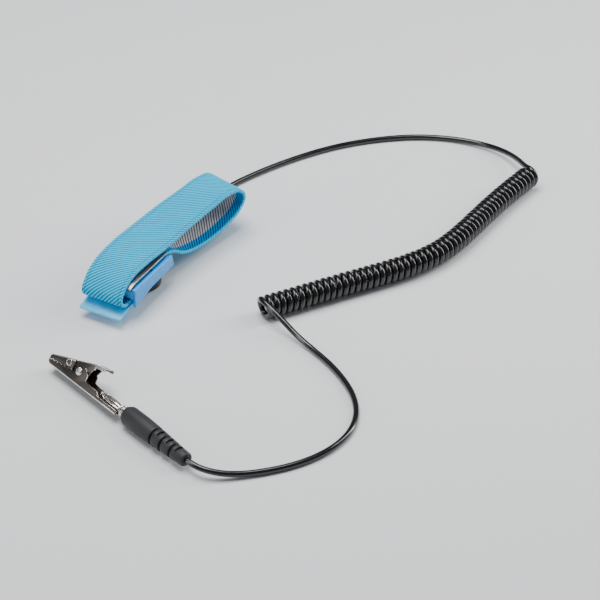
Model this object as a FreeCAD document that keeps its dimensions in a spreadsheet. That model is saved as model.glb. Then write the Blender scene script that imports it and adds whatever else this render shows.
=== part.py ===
"""ESD wrist strap: elastic band, lever buckle, snap head, coiled cord, banana plug and alligator clip.

Frame: millimetres. The origin is the centre of the snap head's flat underside, which is the stud's axis
too. +Z points up. +X runs along the buckle, from the lever's lip towards the far end of the band.
"""
import FreeCAD
import Part
import Sketcher

import math
import os
import re

VEC = FreeCAD.Vector
XY, XZ, YZ = "XY_Plane", "XZ_Plane", "YZ_Plane"
THROUGH = "cut_reach"

# Every driving size, in millimetres. Heights are above the surface that the head stands on, and
# lengths named rear, front, lip or room are distances from the stud's axis along X. Sizes of the plug
# and the clip are taken from the plug's axis, from the front face of the boot.
SIZES = {
    # snap head
    "head_dia": 17.0, "head_rim": 8.2, "head_top": 9.4, "head_wall": 1.3, "head_floor": 1.4,
    "head_round": 0.9, "lid_hole_dia": 8.3, "lid_plug_dia": 14.2, "lid_plug_low": 7.4,
    "exit_high": 3.2, "exit_hole_dia": 4.8,
    "socket_dia": 8.0, "socket_low": 4.6, "socket_high": 9.3, "socket_flange_dia": 11.2,
    "socket_flange_low": 6.7, "socket_flange_high": 7.3, "socket_floor": 5.3, "socket_mouth_dia": 4.5,
    "socket_lip_low": 8.9, "socket_room_dia": 5.8,
    "ring_mean_dia": 3.9, "ring_wire_dia": 0.5, "ring_high": 8.55, "ring_arc": 320.0,
    "resistor_dia": 2.3, "resistor_len": 6.0, "resistor_mid": -2.6, "resistor_high": 3.0,
    "lead_wire_dia": 0.5,
    "crimp_dia": 2.0, "crimp_start": 2.4, "crimp_end": 6.0,
    "relief_in": 6.0, "relief_flange_dia": 6.0, "relief_wall_in": 7.1, "relief_wall_out": 8.6,
    "relief_neck_dia": 4.6, "relief_root_dia": 5.6, "relief_tip_dia": 3.7, "relief_end": 20.0,
    # stud and eyelet
    "stud_low": 6.5, "stud_nose_dia": 2.4, "stud_ball_dia": 4.0, "stud_ball_low": 7.2,
    "stud_ball_high": 7.7, "stud_neck_start": 8.2, "stud_neck_dia": 3.0, "stud_flange_dia": 8.6,
    "stud_flange_thick": 0.5, "stud_bore_dia": 1.7, "stud_bore_low": 9.6,
    "eyelet_dia": 7.6, "eyelet_thick": 0.4, "eyelet_pin_dia": 1.6, "eyelet_pin_low": 10.0,
    # buckle tray, plate and lever
    "tray_rear": 24.0, "tray_front_low": 7.2, "tray_front_top": 5.8, "tray_width": 25.0,
    "inner_width": 21.8, "wall_top": 15.3, "wall_low_rear": 6.2, "wall_low_mid": 8.9,
    "wall_low_front": 9.3, "wall_bend": 11.0, "web_top": 14.0, "web_low": 11.5,
    "wedge_low": 10.1, "wedge_high": 12.5, "wedge_end": 14.5, "hinge_room": 9.3, "web_hole_dia": 3.4,
    "tray_round": 0.45,
    "plate_front": 6.0, "plate_bend": 20.8, "plate_rear": 24.6, "plate_drop": 1.3, "plate_low": 15.9,
    "plate_thick": 0.6, "plate_width": 21.0, "plate_hole_dia": 3.2,
    "pin_dia": 1.6, "pin_back": 11.5, "pin_high": 10.6, "pin_len": 24.6, "pin_clear": 0.1,
    "lever_width": 20.6, "barrel_dia": 3.4, "lip_tip": 33.0, "lip_low": 4.0, "lip_high": 5.1,
    "lever_low_rear": 6.3, "lever_top_rear": 7.5, "lever_low_mid": 8.9, "lever_top_mid": 9.8,
    "lever_mid": 14.6, "tooth_pitch": 1.7, "tooth_high": 0.5, "tooth_width": 1.0, "tooth_first": 22.6,
    # elastic band
    "band_width": 20.0, "band_thick": 1.5, "band_hole_dia": 3.4,
    # cord
    "cord_dia": 2.6, "coil_dia": 10.8,
    # boot and banana plug
    "plug_back": -82.2, "plug_right": -45.2, "plug_high": 4.4, "plug_yaw": 71.0,
    "boot_len": 37.5, "boot_face_dia": 6.6, "boot_front_dia": 8.6, "boot_mid_dia": 8.0,
    "boot_end_dia": 5.8, "boot_chamfer": 1.8, "relief_start": 18.4, "groove_deep": 0.95,
    "groove_width": 1.1, "groove_pitch": 5.6, "slot_width": 1.2, "slot_span": 3.4, "boot_bore_len": 9.6,
    "shank_dia": 3.0, "shank_len": 9.0, "core_dia": 2.3, "core_end": 15.2, "nose_dia": 3.2,
    "nose_end": 17.0, "collar_dia": 5.3, "collar_start": 0.2, "collar_end": 2.3,
    "cage_start": 3.0, "cage_end": 15.0, "cage_end_dia": 3.2, "cage_belly_dia": 4.0,
    "cage_belly_start": 7.0, "cage_belly_end": 11.0, "cage_wall": 0.35, "cage_slot_start": 4.6,
    "cage_slot_end": 13.4, "cage_slot_width": 0.7,
    # alligator clip
    "clip_roll": 38.0, "jaw_width": 7.0, "jaw_sheet": 0.6, "spine_low": 2.75, "spine_inside": 2.15,
    "jaw_tip": 47.3, "jaw_tip_cut": 0.9, "barrel_back": 2.6, "arm_start": 14.4, "arm_end": 23.4,
    "arm_high": 0.85, "trough_high": -0.8, "ear_back": 28.0, "ear_high": 1.9, "ear_dia": 7.6,
    "bite_tip_high": 0.2, "bite_root": 36.6, "bite_root_high": 1.7, "tooth_deep": 0.75, "bite_gap": 0.1,
    "pivot_back": 29.5, "pivot_high": 2.9, "rivet_dia": 2.4, "rivet_clear": 0.06,
    "rivet_head_dia": 3.6, "rivet_head_thick": 0.5, "upper_width": 5.5, "upper_step": 33.4,
    "upper_tip_high": 1.95, "upper_back": 23.0, "upper_back_high": 9.65, "thumb_end": 18.0,
    "thumb_end_high": 10.1, "thumb_width": 5.5, "thumb_sheet": 0.7, "thumb_hole_dia": 1.2,
    "thumb_hole_back": 22.5, "thumb_slot_back": 20.2, "thumb_slot_len": 2.2, "thumb_slot_width": 1.5,
    "spring_dia": 4.4, "spring_wire_dia": 0.7, "spring_pitch": 0.85, "spring_turns": 3.0,
    # a length that passes right through any piece
    "cut_reach": 60.0,
}

# The band's middle line: x, height, sideways shift, turn about Z and lean about X, in degrees.
# It starts under the skin plate, goes round the wrist and ends between the lever and the tray.
BAND_STATIONS = [
    (-7.0, 14.95, 0.0, 0.0, 0.0), (-2.0, 14.95, 0.0, 0.0, 0.0), (3.0, 14.95, 0.0, 0.0, 0.0),
    (6.8, 14.75, 0.0, 0.0, 0.0), (11.3, 12.9, -0.2, -1.0, 0.0), (18.0, 8.7, -1.0, -4.0, 0.0),
    (28.0, 5.9, -2.2, -8.0, 0.0), (40.0, 5.6, -4.2, -11.0, 0.0), (50.0, 7.6, -6.2, -13.0, 0.0),
    (57.4, 11.2, -7.8, -14.0, 0.0), (60.8, 16.1, -8.3, -14.0, 0.0), (58.6, 20.3, -7.8, -14.0, 0.0),
    (51.0, 22.4, -6.2, -12.0, 0.0), (40.0, 22.1, -4.6, -9.0, 1.0), (24.0, 21.3, -2.4, -6.0, 5.0),
    (6.0, 20.6, -0.8, -4.0, 9.0), (-8.0, 20.6, 0.2, -3.0, 7.0), (-20.0, 19.0, 0.8, -3.0, 3.0),
    (-27.4, 15.4, 0.6, -2.0, 0.0), (-29.9, 11.6, 0.4, -1.0, 0.0), (-28.2, 9.1, 0.1, 0.0, 0.0),
    (-24.0, 8.95, 0.0, 0.0, 0.0), (-19.6, 10.0, 0.0, 0.0, 0.0), (-15.2, 11.1, 0.0, 0.0, 0.0),
]

# The cord's routes, as points chosen along its middle line: from the head to the coil, along the
# coil's axis, and from the coil to the boot.
STRAP_LEAD_ROUTE = [
    (20.0, 0.0, 3.2), (26.0, 0.5, 2.7), (33.5, 2.0, 1.4), (44.0, 4.7, 1.35), (57.0, 6.6, 1.35),
    (70.5, 6.2, 1.35), (83.6, 3.2, 1.35), (95.5, -1.2, 1.35), (107.3, -6.5, 1.35), (119.0, -12.7, 1.35),
    (130.3, -19.8, 1.35), (140.6, -28.0, 1.35), (149.6, -37.1, 1.35), (157.2, -46.6, 1.35),
    (163.2, -56.6, 1.35), (167.5, -67.4, 1.35), (169.7, -78.8, 1.6), (168.9, -89.6, 2.6),
    (165.0, -98.8, 4.4), (159.0, -106.6, 6.7), (152.6, -113.0, 8.6),
]
COIL_ROUTE = [
    (3.0, -58.6, 5.4), (18.0, -69.1, 5.4), (33.0, -79.4, 5.4), (47.5, -90.0, 5.4), (61.0, -99.4, 5.4),
    (75.6, -106.4, 5.4), (91.0, -109.2, 5.4), (106.5, -110.5, 5.4), (121.5, -111.8, 5.4),
    (136.0, -113.7, 5.4), (150.6, -116.2, 5.4),
]
CLIP_LEAD_ROUTE = [
    (2.4, -59.4, 9.6), (0.4, -65.0, 8.6), (-1.6, -72.2, 5.6), (-3.8, -79.6, 2.6), (-6.8, -88.2, 1.4),
    (-11.2, -98.0, 1.35), (-17.0, -107.6, 1.35), (-24.6, -116.8, 1.35), (-33.9, -123.5, 1.35),
    (-44.6, -126.6, 1.35), (-55.8, -125.7, 1.35), (-66.0, -121.7, 1.35), (-75.0, -115.7, 1.35),
    (-82.5, -108.6, 1.4), (-88.6, -101.6, 1.7), (-92.9, -95.6, 2.7), (-95.3, -89.6, 3.8),
    (-95.6, -84.6, 4.35), (-94.4, -80.65, 4.4),
]

doc = FreeCAD.newDocument("esd_wrist_strap")
sheet = doc.addObject("Spreadsheet::Sheet", "dims")


def fill_sheet():
    """Put each size in a cell of its own, under its name."""
    for row, (name, value) in enumerate(SIZES.items(), start=1):
        sheet.set(f"A{row}", name)
        sheet.set(f"B{row}", str(value))
        sheet.setAlias(f"B{row}", name)
    doc.recompute()


def size(name):
    return float(getattr(sheet, name))


def from_sheet(text):
    """Turn names of sizes in an expression into references to the sheet."""
    return re.sub(r"[a-z]+_[a-z_]+", lambda found: "dims." + found.group(0), text)


# ---- Sketches and features --------------------------------------------------------------------------

def new_body(label):
    body = doc.addObject("PartDesign::Body", label)
    body.Label = label
    return body


def new_sketch(body, name, role):
    sketch = body.newObject("Sketcher::SketchObject", name)
    plane = [item for item in body.Origin.OriginFeatures if item.Role == role][0]
    sketch.AttachmentSupport = [(plane, "")]
    sketch.MapMode = "FlatFace"
    return sketch


def bind_point(sketch, geometry, vertex, across, along, start):
    """Hold a vertex at two signed distances from the sketch's origin."""
    for kind, text, value in (("DistanceX", across, start[0]), ("DistanceY", along, start[1])):
        index = sketch.addConstraint(Sketcher.Constraint(kind, -1, 1, geometry, vertex, value))
        sketch.setExpression(f"Constraints[{index}]", from_sheet(text))


def outline(body, name, role, corners):
    """Draw a closed outline whose corners are pairs of expressions."""
    sketch = new_sketch(body, name, role)
    count = len(corners)
    # The corners start on a circle, and their bound distances then pull them into place.
    ring = [VEC(math.cos(math.tau * step / count), math.sin(math.tau * step / count), 0)
            for step in range(count)]
    for step in range(count):
        sketch.addGeometry(Part.LineSegment(ring[step], ring[(step + 1) % count]), False)
    for step in range(count):
        sketch.addConstraint(Sketcher.Constraint("Coincident", step, 2, (step + 1) % count, 1))
    for step, (across, along) in enumerate(corners):
        bind_point(sketch, step, 1, across, along, ring[step])
    return sketch


def disc(body, name, role, across, along, diameter):
    """Draw a circle whose centre and diameter are expressions."""
    sketch = new_sketch(body, name, role)
    sketch.addGeometry(Part.Circle(VEC(1, 1, 0), VEC(0, 0, 1), 1), False)
    bind_point(sketch, 0, 3, across, along, (1, 1))
    index = sketch.addConstraint(Sketcher.Constraint("Diameter", 0, 2.0))
    sketch.setExpression(f"Constraints[{index}]", from_sheet(diameter))
    return sketch


def both_ways(body, kind, name, sketch, length):
    """Pad or pocket a sketch equally to both sides of its plane."""
    feature = body.newObject("PartDesign::" + kind, name)
    feature.Profile = sketch
    feature.SideType = "Symmetric"
    feature.setExpression("Length", from_sheet(length))
    before = body.Shape.Volume if kind == "Pocket" else 0.0
    doc.recompute()
    if kind == "Pocket" and body.Shape.Volume > before - 1e-3:
        raise RuntimeError(f"{body.Label}: {name} cuts nothing")
    return feature


def pad(body, name, sketch, length):
    return both_ways(body, "Pad", name, sketch, length)


def cut(body, name, sketch, length=THROUGH):
    return both_ways(body, "Pocket", name, sketch, length)


def spin(body, name, sketch, axis):
    """Turn a sketch once about its own horizontal or vertical axis."""
    feature = body.newObject("PartDesign::Revolution", name)
    feature.Profile = sketch
    feature.ReferenceAxis = (sketch, [axis])
    feature.Angle = 360.0
    doc.recompute()
    return feature


def soften(body, name, radius, wanted, kind="Fillet"):
    """Round or chamfer the edges of the body's last feature that the given test picks."""
    base = body.Tip
    picked = [f"Edge{index}" for index, edge in enumerate(base.Shape.Edges, start=1) if wanted(edge)]
    if not picked:
        raise RuntimeError(f"{body.Label}: {name} finds no edge")
    feature = body.newObject("PartDesign::" + kind, name)
    feature.Base = (base, picked)
    feature.setExpression("Radius" if kind == "Fillet" else "Size", from_sheet(radius))
    doc.recompute()
    return feature


def runs_along(edge, axis, tolerance=1e-4):
    """Tell whether an edge is straight and parallel to a unit axis."""
    if edge.Curve.TypeId != "Part::GeomLine":
        return False
    step = edge.Vertexes[1].Point - edge.Vertexes[0].Point
    return abs(abs(step.normalize().dot(axis)) - 1.0) < tolerance


def is_ring_at(edge, axis_name, place, radius, tolerance=0.02):
    """Tell whether an edge is a circle of one radius whose centre lies at one place on an axis."""
    if edge.Curve.TypeId != "Part::GeomCircle":
        return False
    centre = getattr(edge.Curve.Center, axis_name)
    return abs(centre - place) < tolerance and abs(edge.Curve.Radius - radius) < tolerance


def shape_node(label, shape):
    """Hold a shape that is worked out by a formula."""
    node = doc.addObject("Part::Feature", label)
    node.Label = label
    node.Shape = shape
    node.Placement = FreeCAD.Placement()
    return node


# ---- Snap head ---------------------------------------------------------------------------------------

def make_head_shell():
    """Moulded cup that holds the resistor, with a flat underside."""
    body = new_body("head_shell")
    wall = outline(body, "shell_section", XZ, [
        ("0", "0"), ("head_dia/2", "0"), ("head_dia/2", "head_rim"),
        ("head_dia/2-head_wall", "head_rim"), ("head_dia/2-head_wall", "head_floor"),
        ("0", "head_floor")])
    spin(body, "shell_turn", wall, "V_Axis")
    outlet = new_sketch(body, "exit_circle", YZ)
    outlet.addGeometry(Part.Circle(VEC(1, 1, 0), VEC(0, 0, 1), 1), False)
    bind_point(outlet, 0, 3, "0", "exit_high", (1, 1))
    index = outlet.addConstraint(Sketcher.Constraint("Diameter", 0, 2.0))
    outlet.setExpression(f"Constraints[{index}]", from_sheet("exit_hole_dia"))
    hole = body.newObject("PartDesign::Pocket", "exit_hole")
    hole.Profile = outlet
    hole.Reversed = True
    hole.setExpression("Length", from_sheet("head_dia"))
    doc.recompute()
    radius = size("head_dia") / 2
    soften(body, "lower_round", "head_round", lambda edge: is_ring_at(edge, "z", 0.0, radius))
    return body


def make_head_lid():
    """Lid of the head, with the opening that the socket stands in."""
    body = new_body("head_lid")
    section = outline(body, "lid_section", XZ, [
        ("lid_hole_dia/2", "lid_plug_low"), ("lid_plug_dia/2", "lid_plug_low"),
        ("lid_plug_dia/2", "head_rim"), ("head_dia/2", "head_rim"), ("head_dia/2", "head_top"),
        ("lid_hole_dia/2", "head_top")])
    spin(body, "lid_turn", section, "V_Axis")
    radius = size("head_dia") / 2
    soften(body, "lid_round", "head_round/2",
           lambda edge: is_ring_at(edge, "z", size("head_top"), radius))
    return body


def make_snap_socket():
    """Pressed metal socket, open at the top, that grips the stud."""
    body = new_body("snap_socket")
    section = outline(body, "socket_section", XZ, [
        ("0", "socket_low"), ("socket_dia/2", "socket_low"), ("socket_dia/2", "socket_flange_low"),
        ("socket_flange_dia/2", "socket_flange_low"), ("socket_flange_dia/2", "socket_flange_high"),
        ("socket_dia/2", "socket_flange_high"), ("socket_dia/2", "socket_high"),
        ("socket_mouth_dia/2", "socket_high"), ("socket_mouth_dia/2", "socket_lip_low"),
        ("socket_room_dia/2", "socket_lip_low"), ("socket_room_dia/2", "socket_floor"),
        ("0", "socket_floor")])
    spin(body, "socket_turn", section, "V_Axis")
    return body


def make_ring_spring():
    """Split wire ring in the socket, which snaps over the stud's ball."""
    ring = doc.addObject("Part::Torus", "ring_spring")
    ring.Label = "ring_spring"
    ring.setExpression("Radius1", from_sheet("ring_mean_dia/2"))
    ring.setExpression("Radius2", from_sheet("ring_wire_dia/2"))
    ring.setExpression("Angle3", from_sheet("ring_arc"))
    ring.setExpression("Placement.Base.z", from_sheet("ring_high"))
    return ring


def make_resistor():
    """One-megohm resistor, lying under the socket."""
    body = new_body("resistor")
    section = outline(body, "resistor_section", XZ, [
        ("resistor_mid-resistor_len/2", "0"), ("resistor_mid-resistor_len/2", "resistor_dia/2"),
        ("resistor_mid-resistor_len/4", "resistor_dia/2"),
        ("resistor_mid-resistor_len/4", "resistor_dia*0.43"),
        ("resistor_mid+resistor_len/4", "resistor_dia*0.43"),
        ("resistor_mid+resistor_len/4", "resistor_dia/2"),
        ("resistor_mid+resistor_len/2", "resistor_dia/2"), ("resistor_mid+resistor_len/2", "0")])
    spin(body, "resistor_turn", section, "H_Axis")
    body.setExpression("Placement.Base.z", from_sheet("resistor_high"))
    return body


def make_resistor_wires():
    """The resistor's two wires: one to the socket, one to the crimp on the cord."""
    high = size("resistor_high")
    left = size("resistor_mid") - size("resistor_len") / 2
    right = size("resistor_mid") + size("resistor_len") / 2
    socket_side = size("socket_dia") / 2
    joint_high = size("socket_low") + 1.2
    to_socket = [VEC(left, 0, high), VEC(left - 0.9, 0, high), VEC(left - 0.9, 0, joint_high),
                 VEC(-socket_side, 0, joint_high)]
    wires = [wire_of_runs(to_socket, size("lead_wire_dia")),
             wire_of_runs([VEC(right, 0, high), VEC(size("crimp_start"), 0, high)],
                          size("lead_wire_dia"))]
    return shape_node("resistor_wires", Part.makeCompound(wires))


def wire_of_runs(points, diameter):
    """Short bent wire: straight round runs with a ball at each bend."""
    pieces = []
    for start, end in zip(points, points[1:]):
        step = end - start
        pieces.append(Part.makeCylinder(diameter / 2, step.Length, start, step))
    for bend in points[1:-1]:
        pieces.append(Part.makeSphere(diameter / 2, bend))
    if len(pieces) == 1:
        return pieces[0]
    return pieces[0].fuse(pieces[1:])


def make_wire_crimp():
    """Ferrule that joins the resistor's wire to the cord's conductor."""
    body = new_body("wire_crimp")
    section = outline(body, "crimp_section", XZ, [
        ("crimp_start", "0"), ("crimp_start", "crimp_dia/2"), ("crimp_end", "crimp_dia/2"),
        ("crimp_end", "0")])
    spin(body, "crimp_turn", section, "H_Axis")
    body.setExpression("Placement.Base.z", from_sheet("resistor_high"))
    return body


def make_cord_relief():
    """Soft tapered relief moulded onto the cord, caught in the head's wall by its neck."""
    body = new_body("cord_relief")
    section = outline(body, "relief_section", XZ, [
        ("relief_in", "0"), ("relief_in", "relief_flange_dia/2"),
        ("relief_wall_in", "relief_flange_dia/2"), ("relief_wall_in", "relief_neck_dia/2"),
        ("relief_wall_out", "relief_neck_dia/2"), ("relief_wall_out", "relief_root_dia/2"),
        ("relief_end", "relief_tip_dia/2"), ("relief_end", "0")])
    spin(body, "relief_turn", section, "H_Axis")
    body.setExpression("Placement.Base.z", from_sheet("exit_high"))
    return body


# ---- Buckle ------------------------------------------------------------------------------------------

def make_snap_stud():
    """Snap stud: a ball on a neck, with a flange that rests against the tray's web."""
    body = new_body("snap_stud")
    section = outline(body, "stud_section", XZ, [
        ("0", "stud_low"), ("stud_nose_dia/2", "stud_low"), ("stud_ball_dia/2", "stud_ball_low"),
        ("stud_ball_dia/2", "stud_ball_high"), ("stud_neck_dia/2", "stud_neck_start"),
        ("stud_neck_dia/2", "web_low-stud_flange_thick"),
        ("stud_flange_dia/2", "web_low-stud_flange_thick"), ("stud_flange_dia/2", "web_low"),
        ("stud_neck_dia/2", "web_low"), ("stud_neck_dia/2", "web_top"),
        ("stud_bore_dia/2", "web_top"), ("stud_bore_dia/2", "stud_bore_low"), ("0", "stud_bore_low")])
    spin(body, "stud_turn", section, "V_Axis")
    return body


def make_stud_eyelet():
    """Eyelet that is riveted into the stud, through the plate, the band and the web."""
    body = new_body("stud_eyelet")
    section = outline(body, "eyelet_section", XZ, [
        ("0", "eyelet_pin_low"), ("eyelet_pin_dia/2", "eyelet_pin_low"),
        ("eyelet_pin_dia/2", "web_top"), ("stud_neck_dia/2", "web_top"),
        ("stud_neck_dia/2", "plate_low+plate_thick"), ("eyelet_dia/2", "plate_low+plate_thick"),
        ("eyelet_dia/2-eyelet_thick", "plate_low+plate_thick+eyelet_thick"),
        ("0", "plate_low+plate_thick+eyelet_thick")])
    spin(body, "eyelet_turn", section, "V_Axis")
    return body


def make_buckle_tray():
    """Moulded tray: two side walls joined by a web that the band is clamped against."""
    body = new_body("buckle_tray")
    side = outline(body, "wall_side", XZ, [
        ("-tray_rear", "wall_low_rear"), ("-wall_bend", "wall_low_mid"),
        ("tray_front_low", "wall_low_front"), ("tray_front_top", "wall_top"),
        ("-tray_rear", "wall_top")])
    pad(body, "block", side, "tray_width")
    above = outline(body, "room_above_web", XZ, [
        ("-tray_rear-1", "web_top"), ("tray_front_low+1", "web_top"),
        ("tray_front_low+1", "wall_top+1"), ("-tray_rear-1", "wall_top+1")])
    cut(body, "upper_room", above, "inner_width")
    below = outline(body, "room_below_web", XZ, [
        ("-tray_rear-1", "wall_low_rear-2"), ("-tray_rear-1", "wedge_low"),
        ("-wedge_end", "wedge_high"), ("-hinge_room", "wedge_high"), ("-hinge_room", "web_low"),
        ("tray_front_low+1", "web_low"), ("tray_front_low+1", "wall_low_rear-2")])
    cut(body, "lower_room", below, "inner_width")
    cut(body, "stud_hole", disc(body, "stud_circle", XY, "0", "0", "web_hole_dia"))
    cut(body, "pin_hole", disc(body, "pin_circle", XZ, "-pin_back", "pin_high", "pin_dia+pin_clear"))
    half = size("tray_width") / 2

    def is_outer_rim(edge):
        sides = [abs(vertex.Point.y) for vertex in edge.Vertexes]
        return edge.Curve.TypeId == "Part::GeomLine" and min(sides) > half - 1e-3

    soften(body, "outer_round", "tray_round", is_outer_rim)
    return body


def make_skin_plate():
    """Stainless plate that touches the wrist, turned down at its rear end."""
    body = new_body("skin_plate")
    side = outline(body, "plate_side", XZ, [
        ("plate_front", "plate_low"), ("plate_front", "plate_low+plate_thick"),
        ("-plate_bend", "plate_low+plate_thick"), ("-plate_rear", "plate_low+plate_thick-plate_drop"),
        ("-plate_rear+plate_thick/4", "plate_low-plate_drop"),
        ("-plate_bend+plate_thick/4", "plate_low")])
    pad(body, "sheet", side, "plate_width")
    cut(body, "eyelet_hole", disc(body, "eyelet_circle", XY, "0", "0", "plate_hole_dia"))
    soften(body, "corner_round", "plate_drop",
           lambda edge: runs_along(edge, VEC(0, 0, 1)) and edge.BoundBox.XMin > 0)
    return body


def make_locking_lever():
    """Clamp lever that swings on the pin: its teeth press the band to the web, its lip sticks out."""
    body = new_body("locking_lever")
    side = outline(body, "lever_side", XZ, [
        ("-lip_tip", "lip_low"), ("-tray_rear", "lever_low_rear"), ("-pin_back", "lever_low_mid"),
        ("-pin_back", "pin_high"), ("-lever_mid", "lever_top_mid"), ("-tray_rear", "lever_top_rear"),
        ("-lip_tip", "lip_high")])
    pad(body, "flap", side, "lever_width")
    pad(body, "barrel", disc(body, "barrel_circle", XZ, "-pin_back", "pin_high", "barrel_dia"),
        "lever_width")
    slope = "(lever_top_mid-lever_top_rear)/(tray_rear-lever_mid)"
    for index in range(4):
        near = f"(tooth_first-{index}*tooth_pitch)"
        base = f"(lever_top_rear+(tray_rear-{near})*{slope}-0.1)"
        ridge = outline(body, f"ridge_{index}", XZ, [
            (f"-{near}", base), (f"-{near}+tooth_width", base),
            (f"-{near}+tooth_width", f"{base}+tooth_high+0.1")])
        pad(body, f"tooth_{index}", ridge, "lever_width-2")
    cut(body, "pin_bore", disc(body, "bore_circle", XZ, "-pin_back", "pin_high", "pin_dia+pin_clear"))
    return body


def make_lever_pin():
    """Steel pin that the lever swings on, held in both walls of the tray."""
    pin = doc.addObject("Part::Cylinder", "lever_pin")
    pin.Label = "lever_pin"
    pin.setExpression("Radius", from_sheet("pin_dia/2"))
    pin.setExpression("Height", from_sheet("pin_len"))
    pin.Placement = FreeCAD.Placement(VEC(0, 0, 0), FreeCAD.Rotation(VEC(1, 0, 0), 90))
    pin.setExpression("Placement.Base.x", from_sheet("-pin_back"))
    pin.setExpression("Placement.Base.y", from_sheet("pin_len/2"))
    pin.setExpression("Placement.Base.z", from_sheet("pin_high"))
    return pin


def band_section(index):
    """The band's four corners at one station, square to its middle line."""
    x, high, shift, turn, lean = BAND_STATIONS[index]
    before = BAND_STATIONS[max(index - 1, 0)]
    after = BAND_STATIONS[min(index + 1, len(BAND_STATIONS) - 1)]
    turn, lean = math.radians(turn), math.radians(lean)
    across = VEC(-math.sin(turn) * math.cos(lean), math.cos(turn) * math.cos(lean), math.sin(lean))
    forward = VEC(after[0] - before[0], after[2] - before[2], after[1] - before[1])
    normal = forward.cross(across).normalize()
    middle = VEC(x, shift, high)
    half_width = across * (size("band_width") / 2)
    half_thick = normal * (size("band_thick") / 2)
    return [middle + half_width + half_thick, middle - half_width + half_thick,
            middle - half_width - half_thick, middle + half_width - half_thick]


def make_elastic_band():
    """Elastic webbing: one strip that goes round the wrist, with a hole for the eyelet."""
    sections = [band_section(index) for index in range(len(BAND_STATIONS))]
    edges = []
    for corner in range(4):
        curve = Part.BSplineCurve()
        curve.interpolate([section[corner] for section in sections])
        edges.append(curve.toShape())
    faces = [Part.makeRuledSurface(edges[corner], edges[(corner + 1) % 4]) for corner in range(4)]
    faces += [Part.Face(Part.makePolygon(ends + ends[:1])) for ends in (sections[0], sections[-1])]
    shell = Part.Shell(faces)
    shell.sewShape()
    strip = Part.Solid(shell)
    if strip.Volume < 0:
        strip.reverse()
    print(f"elastic_band: middle line {edges[0].Length:.1f} and {edges[2].Length:.1f}")
    hole = Part.makeCylinder(size("band_hole_dia") / 2, 4.0, VEC(0, 0, size("web_top") - 1.0))
    return shape_node("elastic_band", strip.cut(hole))


# ---- Cord --------------------------------------------------------------------------------------------

def rounded_path(label, points):
    """Straight runs joined by tangent arcs, each as large as its two runs allow."""
    edges = []
    radii = []
    last = points[0]
    for before, corner, after in zip(points, points[1:], points[2:]):
        inward = (before - corner).normalize()
        outward = (after - corner).normalize()
        half_turn = (math.pi - inward.getAngle(outward)) / 2
        reach = 0.45 * min((before - corner).Length, (after - corner).Length)
        radius = reach / math.tan(half_turn)
        start = corner + inward * reach
        end = corner + outward * reach
        to_centre = (inward + outward).normalize()
        middle = corner + to_centre * (radius / math.cos(half_turn) - radius)
        edges.append(Part.LineSegment(last, start).toShape())
        edges.append(Part.Arc(start, middle, end).toShape())
        radii.append(radius)
        last = end
    edges.append(Part.LineSegment(last, points[-1]).toShape())
    path = Part.Wire(edges)
    print(f"{label}: length {path.Length:.1f}, smallest radius {min(radii):.1f}")
    return path


def tube(label, route, diameter):
    """Round tube along a route."""
    points = [VEC(*place) for place in route]
    path = rounded_path(label, points)
    circle = Part.Circle(points[0], points[1] - points[0], diameter / 2).toShape()
    solid = path.makePipeShell([Part.Wire(circle)], True, False)
    expected = math.pi * diameter ** 2 / 4 * path.Length
    if abs(solid.Volume - expected) > 0.01 * expected:
        raise RuntimeError(f"{label}: volume {solid.Volume:.0f}, expected {expected:.0f}")
    return shape_node(label, solid)


# ---- Boot and plug -----------------------------------------------------------------------------------

def plug_placement(roll=0.0):
    """Place of the plug's axis: its own X points from the boot towards the clip's tip."""
    turn = FreeCAD.Rotation(VEC(0, 0, 1), size("plug_yaw"))
    lean = FreeCAD.Rotation(VEC(1, 0, 0), roll)
    place = VEC(size("plug_back"), size("plug_right"), size("plug_high"))
    return FreeCAD.Placement(place, turn.multiply(lean))


def make_clip_boot():
    """Moulded boot on the plug, whose cord end is ringed and slotted to bend."""
    body = new_body("clip_boot")
    slope = "(boot_mid_dia-boot_end_dia)/2/(boot_len-relief_start)"
    corners = [("0", "0"), ("0", "boot_face_dia/2"), ("-boot_chamfer", "boot_front_dia/2"),
               ("-boot_chamfer*6", "boot_front_dia/2"), ("-relief_start", "boot_mid_dia/2")]
    for index in range(3):
        back = f"(relief_start+{index}*groove_pitch)"
        near = f"(boot_mid_dia/2-({back}-relief_start)*{slope})"
        far = f"(boot_mid_dia/2-({back}+groove_width-relief_start)*{slope})"
        if index:
            corners.append((f"-{back}", near))
        corners += [(f"-{back}", f"{near}-groove_deep"), (f"-{back}-groove_width", f"{far}-groove_deep"),
                    (f"-{back}-groove_width", far)]
    corners += [("-boot_len", "boot_end_dia/2"), ("-boot_len", "0")]
    spin(body, "boot_turn", outline(body, "boot_section", XZ, corners), "H_Axis")
    bore = outline(body, "shank_room", XZ, [
        ("1", "0"), ("1", "shank_dia/2+0.05"), ("-boot_bore_len", "shank_dia/2+0.05"),
        ("-boot_bore_len", "0")])
    groove = body.newObject("PartDesign::Groove", "shank_bore")
    groove.Profile = bore
    groove.ReferenceAxis = (bore, ["H_Axis"])
    groove.Angle = 360.0
    doc.recompute()
    for index in range(3):
        back = f"(relief_start+groove_width+(groove_pitch-groove_width)/2+{index}*groove_pitch)"
        near = f"(boot_mid_dia/2-({back}-relief_start)*{slope}-groove_deep)"
        for side, name in (("", "upper"), ("-", "lower")):
            slot = outline(body, f"{name}_slot_{index}", XZ, [
                (f"-{back}-slot_width/2", f"{side}{near}"), (f"-{back}+slot_width/2", f"{side}{near}"),
                (f"-{back}+slot_width/2", f"{side}boot_mid_dia"),
                (f"-{back}-slot_width/2", f"{side}boot_mid_dia")])
            cut(body, f"{name}_cut_{index}", slot, "slot_span")
    body.Placement = plug_placement()
    return body


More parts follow.
